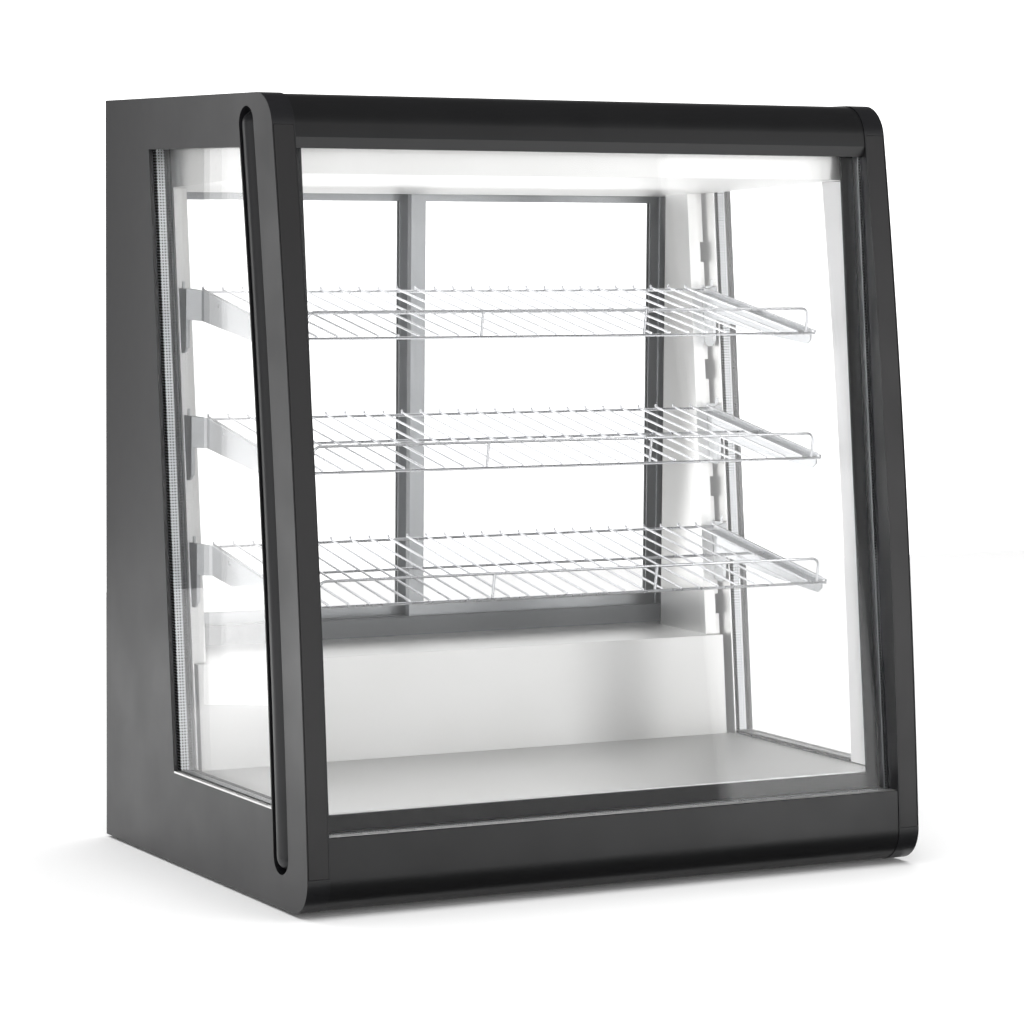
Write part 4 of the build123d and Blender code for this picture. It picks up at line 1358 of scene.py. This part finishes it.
LIGHTS = (
    SoftLight("ceiling_panel", Vector((0.0, 0.0, 5.0)), Vector(), (9.0, 9.0), 560.0, mirrored=False),
    SoftLight("left_panel", Vector((-1.05, 1.02, 0.45)), Vector((-0.35, -0.2, 0.45)), (0.5, 1.3), 3.4),
    SoftLight("right_panel", Vector((1.0, -1.46, 0.45)), Vector((0.34, -0.2, 0.45)), (0.22, 1.3), 3.0),
    SoftLight("fill_light", Vector((-1.2, -2.6, 1.2)), Vector((0.0, 0.0, 0.4)), (0.5, 1.6), 14.0),
    SoftLight("case_lamp", FORM.place(0, 405, 752), FORM.place(0, 405, 150), (0.56, 0.012), 0.2),
    SoftLight("inner_glow", FORM.place(0, 105, 450), FORM.place(0, 500, 380), (0.56, 0.42), 0.72),
)


@dataclass
class Studio:
    """White room: floor, card, soft lights and walls that are darker towards the left rear."""

    finishes: Finishes
    floor_size: Pair = (5.0, 5.0)
    card_size: Pair = (1.4, 0.16)
    card_place: tuple[float, float, float] = (0.0, -0.33, 0.002)
    backdrop: float = 1.8
    horizon: float = 1.0
    zenith: float = 0.06
    wall_rise: float = 0.6
    shade: float = 0.15
    shade_towards: tuple[float, float, float] = (-0.47, 0.88, 0.0)
    shade_span: Pair = (0.5, 0.92)
    panes_seen_through: int = 40

    def sheet(
        self, name: str, centre: tuple[float, float, float], size: Pair, finish: Finish
    ) -> Piece:
        """Flat sheet of the studio.

        Args:
            name: name of the sheet.
            centre: its middle in metres.
            size: its width and depth in metres.
            finish: its finish.

        Returns:
            The sheet.
        """
        bm = bmesh.new()
        spread = Matrix.Translation(Vector(centre)) @ Matrix.Diagonal(Vector((*size, 1.0, 1.0)))
        bmesh.ops.create_grid(bm, x_segments=1, y_segments=1, size=0.5, matrix=spread)
        piece = finish_mesh(name, bm)
        self.finishes.dress(piece, finish)
        return piece

    def card(self) -> None:
        """Black card before the foot, seen only in reflections, so that the covers' toe stays dark."""
        piece = self.sheet("black_card", self.card_place, self.card_size, CARD)
        piece.visible_camera = False
        piece.visible_diffuse = False
        piece.visible_transmission = False
        piece.visible_shadow = False

    def room(self) -> None:
        """White backdrop, with walls that are bright low down and darken towards the ceiling."""
        world = bpy.data.worlds.new("white_room")
        world.use_nodes = True
        tree = world.node_tree
        tree.nodes.clear()
        way = add_node(tree, "TexCoord").outputs["Generated"]
        rise = add_node(tree, "SeparateXYZ", None, {"Vector": way}).outputs["Z"]
        dark_way = {1: self.shade_towards}
        towards = add_node(tree, "VectorMath", dark_way, {0: way}, operation="DOT_PRODUCT")
        smooth = {"interpolation_type": "SMOOTHSTEP"}
        walls = map_range(tree, rise, (0.0, self.wall_rise), (self.horizon, self.zenith), **smooth)
        fall = map_range(tree, towards.outputs["Value"], self.shade_span, (1.0, self.shade), **smooth)
        strength = add_node(tree, "Math", None, {0: walls, 1: fall}, operation="MULTIPLY")
        lit_by = {"Strength": strength.outputs["Value"]}
        lit = add_node(tree, "Background", {"Color": WHITE}, lit_by)
        seen = add_node(tree, "Background", {"Color": WHITE, "Strength": self.backdrop})
        ray = add_node(tree, "LightPath").outputs["Is Camera Ray"]
        links = {0: ray, 1: lit.outputs["Background"], 2: seen.outputs["Background"]}
        mix = add_node(tree, "MixShader", None, links)
        add_node(tree, "OutputWorld", None, {"Surface": mix.outputs["Shader"]})
        bpy.context.scene.world = world

    def build(self) -> None:
        """Builds floor, card, room and lights."""
        self.sheet("studio_floor", (0.0, 0.0, 0.0), self.floor_size, PAPER)
        self.card()
        self.room()
        for light in LIGHTS:
            light.build()
        bpy.context.scene.view_settings.view_transform = "Standard"
        bpy.context.scene.view_settings.look = "None"
        bpy.context.scene.cycles.transparent_max_bounces = self.panes_seen_through
        log.info("made the studio")


@dataclass(frozen=True)
class ProductCamera:
    """Long lens from the left front, a little above the middle of the case."""

    lens: float = 125.19
    sensor: float = 36.0
    place: tuple[float, float, float] = (-1.75170, -3.29362, 0.68295)
    yaw: float = 28.0638
    pitch: float = 4.9500
    roll: float = 0.4785
    far_clip: float = 50.0

    def build(self) -> None:
        """Builds the camera and makes it the scene's own."""
        yaw, pitch, roll = (math.radians(a) for a in (self.yaw, self.pitch, self.roll))
        flat = math.cos(pitch)
        ahead = Vector((math.sin(yaw) * flat, math.cos(yaw) * flat, -math.sin(pitch)))
        level = Vector((math.cos(yaw), -math.sin(yaw), 0.0))
        up = level.cross(ahead)
        right = level * math.cos(roll) + up * math.sin(roll)
        above = up * math.cos(roll) - level * math.sin(roll)
        data = bpy.data.cameras.new("product_camera")
        data.sensor_width = self.sensor
        data.lens = self.lens
        data.clip_end = self.far_clip
        camera = bpy.data.objects.new("product_camera", data)
        turn = Matrix((right, above, -ahead)).transposed().to_4x4()
        camera.matrix_world = Matrix.Translation(Vector(self.place)) @ turn
        bpy.context.scene.collection.objects.link(camera)
        bpy.context.scene.camera = camera
        log.info("made the camera")


def main() -> None:
    """Builds the whole scene in order."""
    finishes = Finishes()
    ProductCamera().build()
    for side in Side:
        SidePanel(finishes, side=side).build()
    Covers(finishes).build()
    for level, name in enumerate(("top", "mid", "low")):
        WireShelf(finishes, f"{name}_shelf", name, level).build()
    RearScrews(finishes).build()
    CadDress(finishes).build()
    Studio(finishes).build()


if __name__ == "__main__":
    logging.basicConfig(level=logging.INFO, format="%(message)s")
    main()
